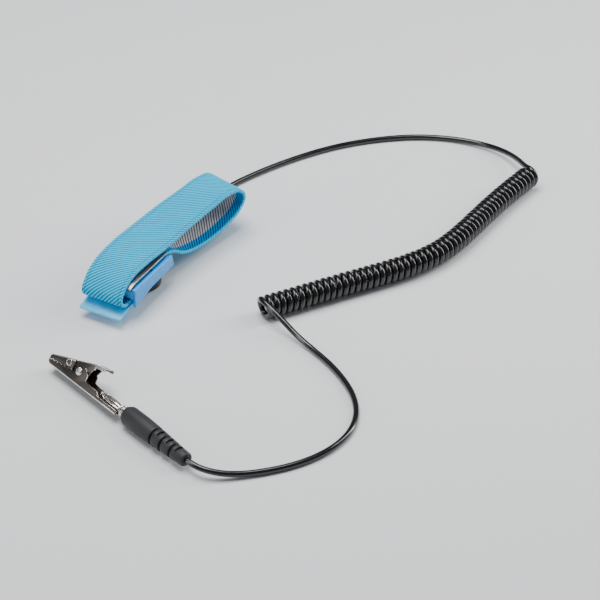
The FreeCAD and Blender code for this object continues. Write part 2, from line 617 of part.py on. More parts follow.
def make_plug_pin():
    """Core of the banana plug: a shank in the boot and a thin rod with a nose."""
    body = new_body("plug_pin")
    section = outline(body, "pin_section", XZ, [
        ("-shank_len", "0"), ("-shank_len", "shank_dia/2"), ("collar_end", "shank_dia/2"),
        ("collar_end", "core_dia/2"), ("core_end", "core_dia/2"), ("core_end", "nose_dia/2"),
        ("core_end+0.6", "nose_dia/2"), ("nose_end", "core_dia/3"), ("nose_end", "0")])
    spin(body, "pin_turn", section, "H_Axis")
    body.Placement = plug_placement()
    return body


def make_plug_collar():
    """Ring that is pressed on the plug in front of the boot."""
    body = new_body("plug_collar")
    section = outline(body, "collar_section", XZ, [
        ("collar_start", "shank_dia/2"), ("collar_start", "collar_dia/2"),
        ("collar_end-0.4", "collar_dia/2"), ("collar_end", "collar_dia/2-0.4"),
        ("collar_end", "shank_dia/2")])
    spin(body, "collar_turn", section, "H_Axis")
    body.Placement = plug_placement()
    return body


def make_plug_cage():
    """Slotted spring sleeve of the banana plug, fattest in the middle."""
    body = new_body("plug_cage")
    section = outline(body, "cage_section", XZ, [
        ("cage_start", "cage_end_dia/2-cage_wall"), ("cage_start", "cage_end_dia/2"),
        ("cage_belly_start", "cage_belly_dia/2"), ("cage_belly_end", "cage_belly_dia/2"),
        ("cage_end", "cage_end_dia/2"), ("cage_end", "cage_end_dia/2-cage_wall"),
        ("cage_belly_end", "cage_belly_dia/2-cage_wall"),
        ("cage_belly_start", "cage_belly_dia/2-cage_wall")])
    spin(body, "cage_turn", section, "H_Axis")
    slot = outline(body, "slot_shape", XZ, [
        ("cage_slot_start", "0.2"), ("cage_slot_end", "0.2"), ("cage_slot_end", "cage_belly_dia"),
        ("cage_slot_start", "cage_belly_dia")])
    first = cut(body, "first_slot", slot, "cage_slot_width")
    row = body.newObject("PartDesign::PolarPattern", "slot_row")
    row.Originals = [first]
    axis = [item for item in body.Origin.OriginFeatures if item.Role == "X_Axis"][0]
    row.Axis = (axis, [""])
    row.Angle = 360.0
    row.Occurrences = 6
    body.Tip = row
    doc.recompute()
    body.Placement = plug_placement()
    return body


# ---- Alligator clip ----------------------------------------------------------------------------------

def bite_line(count, lift, tooth):
    """Toothed edge from the jaw's tip back to the root of the bite, as pairs of expressions."""
    corners = []
    for step in range(count + 1):
        part = f"{step}/{count}"
        back = f"(jaw_tip+(bite_root-jaw_tip)*{part})"
        high = f"(bite_tip_high+(bite_root_high-bite_tip_high)*{part}{lift})"
        corners.append((back, high))
        if step < count:
            valley = f"{step + 0.5}/{count}"
            corners.append((f"(jaw_tip+(bite_root-jaw_tip)*{valley})",
                            f"(bite_tip_high+(bite_root_high-bite_tip_high)*{valley}{lift}{tooth})"))
    return corners


def make_lower_jaw():
    """Bent steel channel: toothed jaw, two ears for the rivet, and a trough that the plug fits."""
    body = new_body("lower_jaw")
    side = outline(body, "jaw_side", XZ, [
        ("barrel_back", "-spine_low"), ("jaw_tip-jaw_tip_cut", "-spine_low"),
        ("jaw_tip", "-spine_low+jaw_tip_cut")]
        + bite_line(5, "", "-tooth_deep")
        + [("upper_step", "bite_root_high"), ("upper_step-1.2", "bite_root_high-0.4"),
           ("arm_end", "arm_high"), ("arm_start+2", "arm_high"), ("arm_start", "trough_high"),
           ("barrel_back", "trough_high")])
    pad(body, "channel", side, "jaw_width")
    ears = disc(body, "ear_circle", XZ, "ear_back", "ear_high", "ear_dia")
    pad(body, "ears", ears, "jaw_width")

    def is_spine_edge(edge):
        box = edge.BoundBox
        return runs_along(edge, VEC(1, 0, 0)) and abs(box.ZMax + size("spine_low")) < 1e-3

    soften(body, "spine_round", "spine_low-spine_inside+0.3", is_spine_edge)
    inside = outline(body, "channel_room", XZ, [
        ("0", "-spine_inside"), ("jaw_tip-jaw_sheet", "-spine_inside"), ("jaw_tip-jaw_sheet", "ear_dia"),
        ("0", "ear_dia")])
    cut(body, "inside", inside, "jaw_width-2*jaw_sheet")
    cut(body, "rivet_hole",
        disc(body, "rivet_circle", XZ, "pivot_back", "pivot_high", "rivet_dia"))
    body.Placement = plug_placement(size("clip_roll"))
    return body


def make_upper_jaw():
    """Bent steel channel that swings between the ears, with a thumb plate at its back."""
    body = new_body("upper_jaw")
    nose = outline(body, "nose_side", XZ, bite_line(5, "+bite_gap", "-tooth_deep") + [
        ("upper_step", "bite_root_high+bite_gap"),
        ("upper_step", "(upper_tip_high+(upper_back_high-upper_tip_high)"
                       "*(jaw_tip-upper_step)/(jaw_tip-upper_back))"),
        ("jaw_tip-0.6", "upper_tip_high+0.2"), ("jaw_tip", "upper_tip_high-0.5")])
    pad(body, "nose", nose, "jaw_width")
    neck = outline(body, "neck_side", XZ, [
        ("upper_step+2", "bite_root_high+0.3"),
        ("upper_step+2", "(upper_tip_high+(upper_back_high-upper_tip_high)"
                         "*(jaw_tip-upper_step-2)/(jaw_tip-upper_back))"),
        ("upper_back", "upper_back_high"), ("upper_back+1.6", "pivot_high+1.5"),
        ("upper_back+2.2", "pivot_high"), ("pivot_back-2.2", "pivot_high-2"),
        ("pivot_back+2.2", "pivot_high-2")])
    pad(body, "neck", neck, "upper_width")
    inside_neck = outline(body, "neck_room", XZ, [
        ("upper_back-2", "-2"), ("jaw_tip-jaw_sheet", "-2"),
        ("jaw_tip-jaw_sheet", "upper_tip_high-jaw_sheet"),
        ("upper_back", "upper_back_high-jaw_sheet"), ("upper_back-2", "upper_back_high-jaw_sheet")])
    cut(body, "inside_narrow", inside_neck, "upper_width-2*jaw_sheet")
    inside_nose = outline(body, "nose_room", XZ, [
        ("upper_step+jaw_sheet", "-2"), ("jaw_tip-jaw_sheet", "-2"),
        ("jaw_tip-jaw_sheet", "upper_tip_high-jaw_sheet"),
        ("upper_step+jaw_sheet", "(upper_tip_high+(upper_back_high-upper_tip_high)"
                                 "*(jaw_tip-upper_step-jaw_sheet)/(jaw_tip-upper_back)-jaw_sheet)")])
    cut(body, "inside_wide", inside_nose, "jaw_width-2*jaw_sheet")
    thumb = outline(body, "thumb_side", XZ, [
        ("upper_back+0.6", "upper_back_high-0.2"), ("thumb_end", "thumb_end_high"),
        ("thumb_end", "thumb_end_high-thumb_sheet"),
        ("upper_back+0.6", "upper_back_high-0.2-thumb_sheet")])
    pad(body, "thumb_plate", thumb, "thumb_width")
    cut(body, "round_hole", disc(body, "hole_circle", XY, "thumb_hole_back", "0", "thumb_hole_dia"))
    slot = outline(body, "slot_shape", XY, [
        ("thumb_slot_back-thumb_slot_len/2", "-thumb_slot_width/2"),
        ("thumb_slot_back+thumb_slot_len/2", "-thumb_slot_width/2"),
        ("thumb_slot_back+thumb_slot_len/2", "thumb_slot_width/2"),
        ("thumb_slot_back-thumb_slot_len/2", "thumb_slot_width/2")])
    cut(body, "slot", slot)
    soften(body, "slot_round", "thumb_slot_width*0.48",
           lambda edge: runs_along(edge, VEC(0, 0, 1)) and edge.BoundBox.XMax < size("thumb_hole_back")
           and abs(edge.Vertexes[0].Point.y) < size("thumb_slot_width"))
    cut(body, "rivet_hole",
        disc(body, "rivet_circle", XZ, "pivot_back", "pivot_high", "rivet_dia+2*rivet_clear"))
    body.Placement = plug_placement(size("clip_roll"))
    return body


def make_pivot_rivet():
    """Rivet through the ears, with a head on each side."""
    body = new_body("pivot_rivet")
    pad(body, "shank", disc(body, "shank_circle", XZ, "pivot_back", "pivot_high", "rivet_dia"),
        "jaw_width")
    for side, name in ((1, "near"), (-1, "far")):
        circle = disc(body, f"{name}_circle", XZ, "pivot_back", "pivot_high", "rivet_head_dia")
        circle.AttachmentOffset = FreeCAD.Placement(VEC(0, 0, side * size("jaw_width") / 2),
                                                    FreeCAD.Rotation())
        head = body.newObject("PartDesign::Pad", f"{name}_head")
        head.Profile = circle
        head.Reversed = side < 0
        head.setExpression("Length", from_sheet("rivet_head_thick"))
        doc.recompute()
    body.Placement = plug_placement(size("clip_roll"))
    return body


def make_jaw_spring():
    """Torsion spring on the rivet, whose two arms push the jaws shut."""
    wire = size("spring_wire_dia")
    radius = size("spring_dia") / 2 - wire / 2 + 0.15
    length = size("spring_pitch") * size("spring_turns")
    helix = Part.makeHelix(size("spring_pitch"), length, radius)
    start = helix.Edges[0].valueAt(helix.Edges[0].FirstParameter)
    heading = helix.Edges[0].tangentAt(helix.Edges[0].FirstParameter)
    circle = Part.Wire(Part.Circle(start, heading, wire / 2).toShape())
    coil = Part.Wire(helix.Edges).makePipeShell([circle], True, True)
    coil.translate(VEC(0, 0, -length / 2))
    coil.rotate(VEC(0, 0, 0), VEC(1, 0, 0), 90)
    coil.rotate(VEC(0, 0, 0), VEC(0, 1, 0), -90)
    coil.translate(VEC(size("pivot_back"), 0, size("pivot_high")))
    pieces = [coil]
    for side, reach, drop in ((1, -5.4, 4.2), (-1, -6.2, -4.2)):
        root = VEC(size("pivot_back"), side * (length / 2), size("pivot_high") + math.copysign(radius, drop))
        tip = VEC(size("pivot_back") + reach, side * (length / 2), size("pivot_high") + drop * 0.98)
        pieces.append(Part.makeCylinder(wire / 2, (tip - root).Length, root, tip - root))
    spring = shape_node("jaw_spring", Part.makeCompound(pieces))
    spring.Placement = plug_placement(size("clip_roll"))
    return spring


# ---- Build, check and write --------------------------------------------------------------------------

def check_document():
    """Stop if any object failed or any sub-part is empty or broken."""
    for item in doc.Objects:
        if "Invalid" in item.State or "Error" in item.State:
            raise RuntimeError(f"{item.Name}: {item.State}")


def write_parts(nodes):
    os.makedirs("parts", exist_ok=True)
    for node in nodes:
        shape = node.Shape
        if shape.isNull() or not shape.isValid() or not shape.Solids:
            raise RuntimeError(f"{node.Label}: shape is empty or not valid")
        shape.exportStep(f"parts/{node.Label}.step")
        print(f"{node.Label}: {len(shape.Solids)} solid, {shape.Volume:.1f} mm3")


fill_sheet()
parts = [
    make_head_shell(), make_head_lid(), make_snap_socket(), make_ring_spring(), make_resistor(),
    make_resistor_wires(), make_wire_crimp(), make_cord_relief(),
    make_snap_stud(), make_stud_eyelet(), make_buckle_tray(), make_skin_plate(),
    make_locking_lever(), make_lever_pin(), make_elastic_band(),
    tube("cord_strap_lead", STRAP_LEAD_ROUTE, size("cord_dia")),
    tube("cord_coil", COIL_ROUTE, size("coil_dia")),
    tube("cord_clip_lead", CLIP_LEAD_ROUTE, size("cord_dia")),
    make_clip_boot(), make_plug_pin(), make_plug_collar(), make_plug_cage(),
    make_lower_jaw(), make_upper_jaw(), make_pivot_rivet(), make_jaw_spring(),
]
doc.recompute()
check_document()
write_parts(parts)
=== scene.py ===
"""ESD wrist strap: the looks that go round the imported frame. Metres, in the frame of the CAD."""

import math

import bmesh
import bpy
from mathutils import Matrix, Vector


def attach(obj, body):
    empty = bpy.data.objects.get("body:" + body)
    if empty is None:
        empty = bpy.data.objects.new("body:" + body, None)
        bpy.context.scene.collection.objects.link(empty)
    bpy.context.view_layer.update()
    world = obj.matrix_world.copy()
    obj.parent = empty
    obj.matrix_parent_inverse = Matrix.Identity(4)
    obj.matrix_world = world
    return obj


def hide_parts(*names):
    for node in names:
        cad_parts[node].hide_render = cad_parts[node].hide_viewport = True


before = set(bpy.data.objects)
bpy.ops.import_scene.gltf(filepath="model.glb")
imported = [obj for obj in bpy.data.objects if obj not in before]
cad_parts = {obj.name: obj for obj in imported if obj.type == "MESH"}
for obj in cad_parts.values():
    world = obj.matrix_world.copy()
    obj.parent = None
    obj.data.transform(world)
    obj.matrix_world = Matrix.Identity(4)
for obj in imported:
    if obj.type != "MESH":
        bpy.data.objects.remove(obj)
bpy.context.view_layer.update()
MM = 0.001


# ---- Studio: camera, lamps and floor -------------------------------------------------------------
# The strap lies on a plain pale floor, seen from above its lever's side.
# A broad lamp overhead and two long ones at the sides draw the lines on the black cord.

CAMERA_PLACE = Vector((-0.59965, -0.41086, 0.53562))
CAMERA_TARGET = Vector((0.02202, -0.06626, 0.0))
CAMERA_LENS = 124.2


def aim(thing, place, target):
    thing.location = place
    thing.rotation_euler = (target - place).to_track_quat("-Z", "Y").to_euler()


def soft_lamp(name, place, target, width, height, watts):
    """Rectangular softbox."""
    lamp = bpy.data.lights.new(name, "AREA")
    lamp.shape = "RECTANGLE"
    lamp.size = width
    lamp.size_y = height
    lamp.energy = watts
    thing = bpy.data.objects.new(name, lamp)
    bpy.context.collection.objects.link(thing)
    aim(thing, Vector(place), Vector(target))


view = bpy.data.cameras.new("camera")
view.lens = CAMERA_LENS
view.sensor_width = 36.0
view.clip_start = 0.01
camera = bpy.data.objects.new("camera", view)
bpy.context.collection.objects.link(camera)
aim(camera, CAMERA_PLACE, CAMERA_TARGET)
bpy.context.scene.camera = camera

soft_lamp("overhead", (0.05, 0.10, 0.85), (0.03, -0.05, 0), 0.55, 0.55, 9.0)
soft_lamp("left_strip", (-0.55, 0.45, 0.38), (0.0, -0.04, 0), 0.16, 0.9, 2.0)
soft_lamp("right_strip", (0.55, -0.55, 0.40), (0.03, -0.06, 0), 0.16, 0.9, 6.0)

world = bpy.data.worlds.new("studio")
world.use_nodes = True
world.node_tree.nodes["Background"].inputs["Color"].default_value = (0.86, 0.9, 1.0, 1)
world.node_tree.nodes["Background"].inputs["Strength"].default_value = 0.2
bpy.context.scene.world = world


def new_material(name, metallic=0.0, roughness=0.5, coat=0.0, coat_roughness=0.1, specular=0.5):
    """Start a material. Numbers that are the same all over go on the shader's own sockets."""
    material = bpy.data.materials.new(name)
    material.use_nodes = True
    shader = material.node_tree.nodes["Principled BSDF"]
    shader.inputs["Metallic"].default_value = metallic
    shader.inputs["Roughness"].default_value = roughness
    shader.inputs["Coat Weight"].default_value = coat
    shader.inputs["Coat Roughness"].default_value = coat_roughness
    shader.inputs["Specular IOR Level"].default_value = specular
    return material


def add_node(tree, kind, **settings):
    """Add a node, set its own settings, and set or link the sockets given by name or number."""
    node = tree.nodes.new(kind)
    sockets = settings.pop("sockets", {})
    for key, value in settings.items():
        setattr(node, key, value)
    for key, value in sockets.items():
        if isinstance(value, bpy.types.NodeSocket):
            tree.links.new(value, node.inputs[key])
        else:
            node.inputs[key].default_value = value
    return node


def math_of(tree, operation, first, second=0.0, third=0.0):
    """Output of a new maths node."""
    node = add_node(tree, "ShaderNodeMath", operation=operation,
                    sockets={0: first, 1: second, 2: third})
    return node.outputs[0]


def new_group(name, inputs, outputs):
    """Start a node group with named inputs and outputs."""
    group = bpy.data.node_groups.new(name, "ShaderNodeTree")
    for label, kind, value in inputs:
        socket = group.interface.new_socket(label, in_out="INPUT", socket_type=kind)
        if value is not None:
            socket.default_value = value
    for label, kind in outputs:
        group.interface.new_socket(label, in_out="OUTPUT", socket_type=kind)
    start = group.nodes.new("NodeGroupInput")
    end = group.nodes.new("NodeGroupOutput")
    return group, start.outputs, end.inputs


def handling_group():
    """Uneven gloss and a little uneven shade, as on anything that has been handled."""
    group, given, result = new_group(
        "handling",
        [("Vector", "NodeSocketVector", None), ("Scale", "NodeSocketFloat", 60.0),
         ("Low", "NodeSocketFloat", 0.3), ("High", "NodeSocketFloat", 0.45),
         ("Colour", "NodeSocketColor", (1, 1, 1, 1)), ("Shade", "NodeSocketFloat", 0.1)],
        [("Colour", "NodeSocketColor"), ("Roughness", "NodeSocketFloat")])
    broad = add_node(group, "ShaderNodeTexNoise",
                     sockets={"Vector": given["Vector"], "Scale": given["Scale"], "Detail": 5.0,
                              "Roughness": 0.6})
    fine_scale = math_of(group, "MULTIPLY", given["Scale"], 9.0)
    fine = add_node(group, "ShaderNodeTexNoise",
                    sockets={"Vector": given["Vector"], "Scale": fine_scale, "Detail": 3.0})
    mixed = math_of(group, "MULTIPLY_ADD", broad.outputs["Fac"], 0.7,
                    math_of(group, "MULTIPLY", fine.outputs["Fac"], 0.3))
    gloss = add_node(group, "ShaderNodeMapRange",
                     sockets={"Value": mixed, "From Min": 0.35, "From Max": 0.65,
                              "To Min": given["Low"], "To Max": given["High"]})
    group.links.new(gloss.outputs["Result"], result["Roughness"])
    lift = add_node(group, "ShaderNodeMapRange",
                    sockets={"Value": mixed, "From Min": 0.3, "From Max": 0.7,
                             "To Min": math_of(group, "SUBTRACT", 1.0, given["Shade"]),
                             "To Max": 1.0})
    shade = add_node(group, "ShaderNodeVectorMath", operation="SCALE",
                     sockets={0: given["Colour"], "Scale": lift.outputs["Result"]})
    group.links.new(shade.outputs["Vector"], result["Colour"])
    return group


def grain_group():
    """Fine moulded or cast grain, as a height in millimetres."""
    group, given, result = new_group(
        "grain",
        [("Vector", "NodeSocketVector", None), ("Scale", "NodeSocketFloat", 900.0),
         ("Depth", "NodeSocketFloat", 0.02)],
        [("Height", "NodeSocketFloat")])
    speck = add_node(group, "ShaderNodeTexVoronoi", feature="SMOOTH_F1",
                     sockets={"Vector": given["Vector"], "Scale": given["Scale"]})
    cloud = add_node(group, "ShaderNodeTexNoise",
                     sockets={"Vector": given["Vector"], "Scale": given["Scale"], "Detail": 4.0})
    both = math_of(group, "MULTIPLY_ADD", speck.outputs["Distance"], 0.5, cloud.outputs["Fac"])
    group.links.new(math_of(group, "MULTIPLY", both, given["Depth"]), result["Height"])
    return group


def edge_highlight_group():
    """Mask of the outer edges, where a painted highlight lightens a part."""
    group, given, result = new_group(
        "painted_edge_highlight",
        [("Vector", "NodeSocketVector", None), ("Start", "NodeSocketFloat", 0.52),
         ("End", "NodeSocketFloat", 0.62)],
        [("Mask", "NodeSocketFloat")])
    shape = add_node(group, "ShaderNodeNewGeometry")
    patch = add_node(group, "ShaderNodeTexNoise",
                     sockets={"Vector": given["Vector"], "Scale": 400.0, "Detail": 3.0})
    drift = math_of(group, "MULTIPLY_ADD", patch.outputs["Fac"], 0.06, shape.outputs["Pointiness"])
    drift = math_of(group, "SUBTRACT", drift, 0.03)
    mask = add_node(group, "ShaderNodeMapRange",
                    sockets={"Value": drift, "From Min": given["Start"], "From Max": given["End"]})
    group.links.new(mask.outputs["Result"], result["Mask"])
    return group


HANDLING = handling_group()
GRAIN = grain_group()
EDGE_HIGHLIGHT = edge_highlight_group()


def dress(material, colour, low, high, scale=60.0, shade=0.1, grain=(900.0, 0.02), bump=0.3,
          edge_highlight_colour=None, edge=(0.52, 0.62)):
    """Give a material its uneven colour and gloss, its grain, and a painted highlight on its edges
    if it has one.
    """
    tree = material.node_tree
    shader = tree.nodes["Principled BSDF"]
    place = add_node(tree, "ShaderNodeTexCoord").outputs["Object"]
    handled = add_node(tree, "ShaderNodeGroup", node_tree=HANDLING,
                       sockets={"Vector": place, "Scale": scale, "Low": low, "High": high,
                                "Colour": (*colour, 1), "Shade": shade})
    shown = handled.outputs["Colour"]
    # Painted highlight: the edges found by the mask are given a lighter colour, as if they caught
    # the light.
    if edge_highlight_colour is not None:
        highlighted = add_node(tree, "ShaderNodeGroup", node_tree=EDGE_HIGHLIGHT,
                          sockets={"Vector": place, "Start": edge[0], "End": edge[1]})
        mixed = add_node(tree, "ShaderNodeMix", data_type="RGBA",
                         sockets={0: highlighted.outputs["Mask"], 6: shown, 7: (*edge_highlight_colour, 1)})
        shown = mixed.outputs[2]
    tree.links.new(shown, shader.inputs["Base Color"])
    tree.links.new(handled.outputs["Roughness"], shader.inputs["Roughness"])
    grained = add_node(tree, "ShaderNodeGroup", node_tree=GRAIN,
                       sockets={"Vector": place, "Scale": grain[0], "Depth": grain[1]})
    relief = add_node(tree, "ShaderNodeBump",
                      sockets={"Strength": bump, "Distance": MM,
                               "Height": grained.outputs["Height"]})
    tree.links.new(relief.outputs["Normal"], shader.inputs["Normal"])
    return material


FLOOR_SIZE = 4.0
FLOOR_HEIGHT = -0.0002


def make_floor():
    mesh = bmesh.new()
    bmesh.ops.create_grid(mesh, x_segments=1, y_segments=1, size=FLOOR_SIZE)
    bmesh.ops.translate(mesh, verts=mesh.verts, vec=(0, 0, FLOOR_HEIGHT))
    data = bpy.data.meshes.new("floor")
    mesh.to_mesh(data)
    mesh.free()
    floor = bpy.data.objects.new("floor", data)
    bpy.context.collection.objects.link(floor)
    paper = new_material("floor_paper", roughness=0.85, specular=0.2)
    data.materials.append(dress(paper, (0.78, 0.79, 0.8), 0.8, 0.9, scale=3.0, shade=0.02,
                                grain=(300.0, 0.01), bump=0.05))


make_floor()


# ---- Cord ----------------------------------------------------------------------------------------
# One black cord with a glossy sheath, 2.6 mm thick: a straight lead from the head, a long close
# coil that is wound left-handed, and a straight lead to the boot. It lies slack on the floor.

CORD_THICK = 2.6 * MM
COIL_RADIUS = 4.1 * MM
COIL_TURNS = 55
POINTS_PER_TURN = 14

STRAP_LEAD_ROUTE = [
    (20.0, 0.0, 3.2), (26.0, 0.5, 2.7), (33.5, 2.0, 1.4), (44.0, 4.7, 1.35),
    (57.0, 6.6, 1.35), (70.5, 6.2, 1.35), (83.6, 3.2, 1.35), (95.5, -1.2, 1.35),
    (107.3, -6.5, 1.35), (119.0, -12.7, 1.35), (130.3, -19.8, 1.35), (140.6, -28.0, 1.35),
    (149.6, -37.1, 1.35), (157.2, -46.6, 1.35), (163.2, -56.6, 1.35), (167.5, -67.4, 1.35),
    (169.7, -78.8, 1.6), (168.9, -89.6, 2.6), (165.0, -98.8, 4.4), (159.0, -106.6, 6.7),
    (152.6, -113.0, 8.6),
]
COIL_ROUTE = [
    (3.0, -58.6, 5.4), (18.0, -69.1, 5.4), (33.0, -79.4, 5.4), (47.5, -90.0, 5.4),
    (61.0, -99.4, 5.4), (75.6, -106.4, 5.4), (91.0, -109.2, 5.4), (106.5, -110.5, 5.4),
    (121.5, -111.8, 5.4), (136.0, -113.7, 5.4), (150.6, -116.2, 5.4),
]
CLIP_LEAD_ROUTE = [
    (2.4, -59.4, 9.6), (0.4, -65.0, 8.6), (-1.6, -72.2, 5.6), (-3.8, -79.6, 2.6),
    (-6.8, -88.2, 1.4), (-11.2, -98.0, 1.35), (-17.0, -107.6, 1.35), (-24.6, -116.8, 1.35),
    (-33.9, -123.5, 1.35), (-44.6, -126.6, 1.35), (-55.8, -125.7, 1.35), (-66.0, -121.7, 1.35),
    (-75.0, -115.7, 1.35), (-82.5, -108.6, 1.4), (-88.6, -101.6, 1.7), (-92.9, -95.6, 2.7),
    (-95.3, -89.6, 3.8), (-95.6, -84.6, 4.35), (-94.4, -80.65, 4.4),
]


def spline_object(name, points, resolution):
    """Curve of one open, smooth spline with the given control points."""
    curve = bpy.data.curves.new(name, "CURVE")
    curve.dimensions = "3D"
    line = curve.splines.new("NURBS")
    line.points.add(len(points) - 1)
    for point, place in zip(line.points, points):
        point.co = (*place, 1.0)
    line.order_u = 3
    line.use_endpoint_u = True
    line.resolution_u = resolution
    curve.resolution_u = resolution
    thing = bpy.data.objects.new(name, curve)
    bpy.context.collection.objects.link(thing)
    return thing


def line_of(thing):
    """Points along a curve with no bevel, in order."""
    bpy.context.view_layer.update()
    mesh = bpy.data.meshes.new_from_object(thing)
    places = [vertex.co.copy() for vertex in mesh.vertices]
    bpy.data.meshes.remove(mesh)
    return places


def walk(places):
    """Return a function that gives the place and heading at a distance along a line."""
    lengths = [0.0]
    for before, after in zip(places, places[1:]):
        lengths.append(lengths[-1] + (after - before).length)

    def at(distance):
        distance = min(max(distance, 0.0), lengths[-1])
        step = 0
        while step < len(places) - 2 and lengths[step + 1] < distance:
            step += 1
        span = max(lengths[step + 1] - lengths[step], 1e-9)
        share = (distance - lengths[step]) / span
        before = places[max(step - 1, 0)]
        after = places[min(step + 2, len(places) - 1)]
        return places[step].lerp(places[step + 1], share), (after - before).normalized()

    return at, lengths[-1]


def coil_points():
    """Control points of the coil's turns, from its right end to its left end."""
    axis = spline_object("coil_axis", [Vector(place) * MM for place in reversed(COIL_ROUTE)], 12)
    at, length = walk(line_of(axis))
    bpy.data.objects.remove(axis)
    points = []
    total = COIL_TURNS * POINTS_PER_TURN
    for step in range(total + 1):
        turn = step / POINTS_PER_TURN
        share = step / total
        # The end turns stand a little open, and the rest are not quite evenly spaced.
        open_ends = 1.3 * MM * (math.exp(-2.2 * (COIL_TURNS - turn)) - math.exp(-2.2 * turn))
        uneven = 0.08 * MM * (math.sin(0.9 * turn) + 0.6 * math.sin(2.3 * turn + 1.0))
        along = length * share + (uneven - open_ends * 0.6) * math.sin(math.pi * share) ** 0.3
        middle, heading = at(along)
        up = Vector((0, 0, 1))
        front = up.cross(heading).normalized()
        radius = COIL_RADIUS * (1.0 + 0.008 * math.sin(1.7 * turn) + 0.006 * math.sin(4.1 * turn))
        angle = math.tau * turn
        points.append(middle + up * radius * math.cos(angle) + front * radius * math.sin(angle))
    return points


def make_cord():
    lead_in = [Vector(place) * MM for place in STRAP_LEAD_ROUTE]
    lead_out = [Vector(place) * MM for place in CLIP_LEAD_ROUTE]
    cord = spline_object("grounding_cord", lead_in + coil_points() + lead_out[1:], 5)
    cord.data.bevel_depth = CORD_THICK / 2
    cord.data.bevel_resolution = 3
    cord.data.use_fill_caps = True
    sheath = new_material("cord_sheath", roughness=0.2, coat=0.3, coat_roughness=0.06, specular=0.5)
    cord.data.materials.append(dress(sheath, (0.005, 0.005, 0.0055), 0.16, 0.27, scale=90.0,
                                     shade=0.25, grain=(1500.0, 0.012), bump=0.2))
    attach(cord, "cord_set")
    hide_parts("cord_strap_lead", "cord_coil", "cord_clip_lead")
    return cord


cord = make_cord()


# ---- Snap head -----------------------------------------------------------------------------------
# Two black mouldings, a cup and its lid, hold the resistor and the nickel snap socket.
# The lid's plug is pressed into the cup; the cup's flat underside lies on the floor.

UPRIGHT = Matrix.Rotation(-math.pi / 2, 4, "Y")


def hand_over(mesh, name, body, nodes, slot, *materials):
    """Make a smooth-shaded object of a bmesh, and tie it to the frame."""
    data = bpy.data.meshes.new(name)
    mesh.to_mesh(data)
    mesh.free()
    thing = bpy.data.objects.new(name, data)
    bpy.context.collection.objects.link(thing)
    data.shade_smooth()
    for material in materials:
        data.materials.append(material)
    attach(thing, body)
    if nodes:
        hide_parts(*nodes)
    return thing


def sharp_edges(mesh, degrees):
    """Edges whose two faces meet at more than the given angle."""
    limit = math.radians(degrees)
    return [edge for edge in mesh.edges
            if len(edge.link_faces) == 2 and edge.calc_face_angle() > limit]


def round_edges(mesh, edges, width, segments=3, slot=-1):
    bmesh.ops.bevel(mesh, geom=edges, offset=width * MM, offset_type="OFFSET", affect="EDGES",
                    segments=segments, profile=0.5, material=slot, clamp_overlap=True)


def turned(profile, steps=64, closed=False, rounding=0.0):
    """Shape turned about X, from pairs of place along X and radius, in millimetres."""
    mesh = bmesh.new()
    line = [mesh.verts.new((along * MM, 0, radius * MM)) for along, radius in profile]
    pairs = list(zip(line, line[1:]))
    if closed:
        pairs.append((line[-1], line[0]))
    edges = [mesh.edges.new(pair) for pair in pairs]
    bmesh.ops.spin(mesh, geom=line + edges, cent=(0, 0, 0), axis=(1, 0, 0), angle=math.tau,
                   steps=steps, use_merge=True)
    bmesh.ops.remove_doubles(mesh, verts=mesh.verts, dist=1e-7)
    bmesh.ops.recalc_face_normals(mesh, faces=mesh.faces)
    if rounding:
        round_edges(mesh, sharp_edges(mesh, 30.0), rounding)
    return mesh


def black_moulding(name):
    moulding = new_material(name, roughness=0.35, coat=0.1, coat_roughness=0.2)
    # The lighter edge colour is a painted highlight.
    return dress(moulding, (0.016, 0.016, 0.018), 0.3, 0.45, scale=110.0, shade=0.2,
                 grain=(1300.0, 0.03), bump=0.35, edge_highlight_colour=(0.045, 0.045, 0.048))


def nickel(name, colour=(0.72, 0.7, 0.66), low=0.1, high=0.24):
    plated = new_material(name, metallic=1.0, roughness=0.18)
    # The near-white edge colour is a painted highlight.
    return dress(plated, colour, low, high, scale=160.0, shade=0.12, grain=(700.0, 0.02), bump=0.15,
                 edge_highlight_colour=(0.9, 0.89, 0.86))


head_black = black_moulding("head_black")
snap_nickel = nickel("snap_nickel")

cup = turned([(0, 0), (0, 7.4), (0.12, 7.9), (0.4, 8.3), (0.9, 8.5), (4.0, 8.5), (4.2, 8.36),
              (4.4, 8.5), (8.15, 8.5), (8.15, 7.2), (1.4, 7.2), (1.4, 0)], 96, rounding=0.12)
cup.transform(UPRIGHT)
hand_over(cup, "head_cup", "cord_set", ["head_shell"], "shell_black", head_black)

lid = turned([(7.4, 4.2), (7.4, 7.1), (8.2, 7.1), (8.2, 8.5), (8.95, 8.5), (9.25, 8.3), (9.38, 7.9),
              (9.38, 5.6), (9.2, 5.4), (9.2, 4.2)], 96, closed=True, rounding=0.1)
lid.transform(UPRIGHT)
hand_over(lid, "head_cap", "cord_set", ["head_lid"], "shell_black", head_black)

socket = turned([(4.6, 0), (4.6, 4.0), (6.7, 4.0), (6.7, 5.6), (7.3, 5.6), (7.3, 4.0), (9.1, 4.0),
                 (9.3, 3.8), (9.3, 2.6), (9.1, 2.3), (8.9, 2.3), (8.9, 2.9), (5.3, 2.9), (5.3, 0)],
                80, rounding=0.08)
socket.transform(UPRIGHT)
hand_over(socket, "socket_shell", "cord_set", ["snap_socket"], "snap_metal", snap_nickel)


# ---- Parts inside the head -----------------------------------------------------------------------
# A one-megohm resistor with tinned wires is crimped to the cord, and a split wire ring in the
# socket snaps over the stud. They keep their CAD shapes and get their real finishes.

def refinish(node, material):
    """Give a CAD node that is shown as it is a better material."""
    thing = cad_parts[node]
    thing.data.materials.clear()
    thing.data.materials.append(material)


RESISTOR_SPAN = (-5.6 * MM, 0.4 * MM)


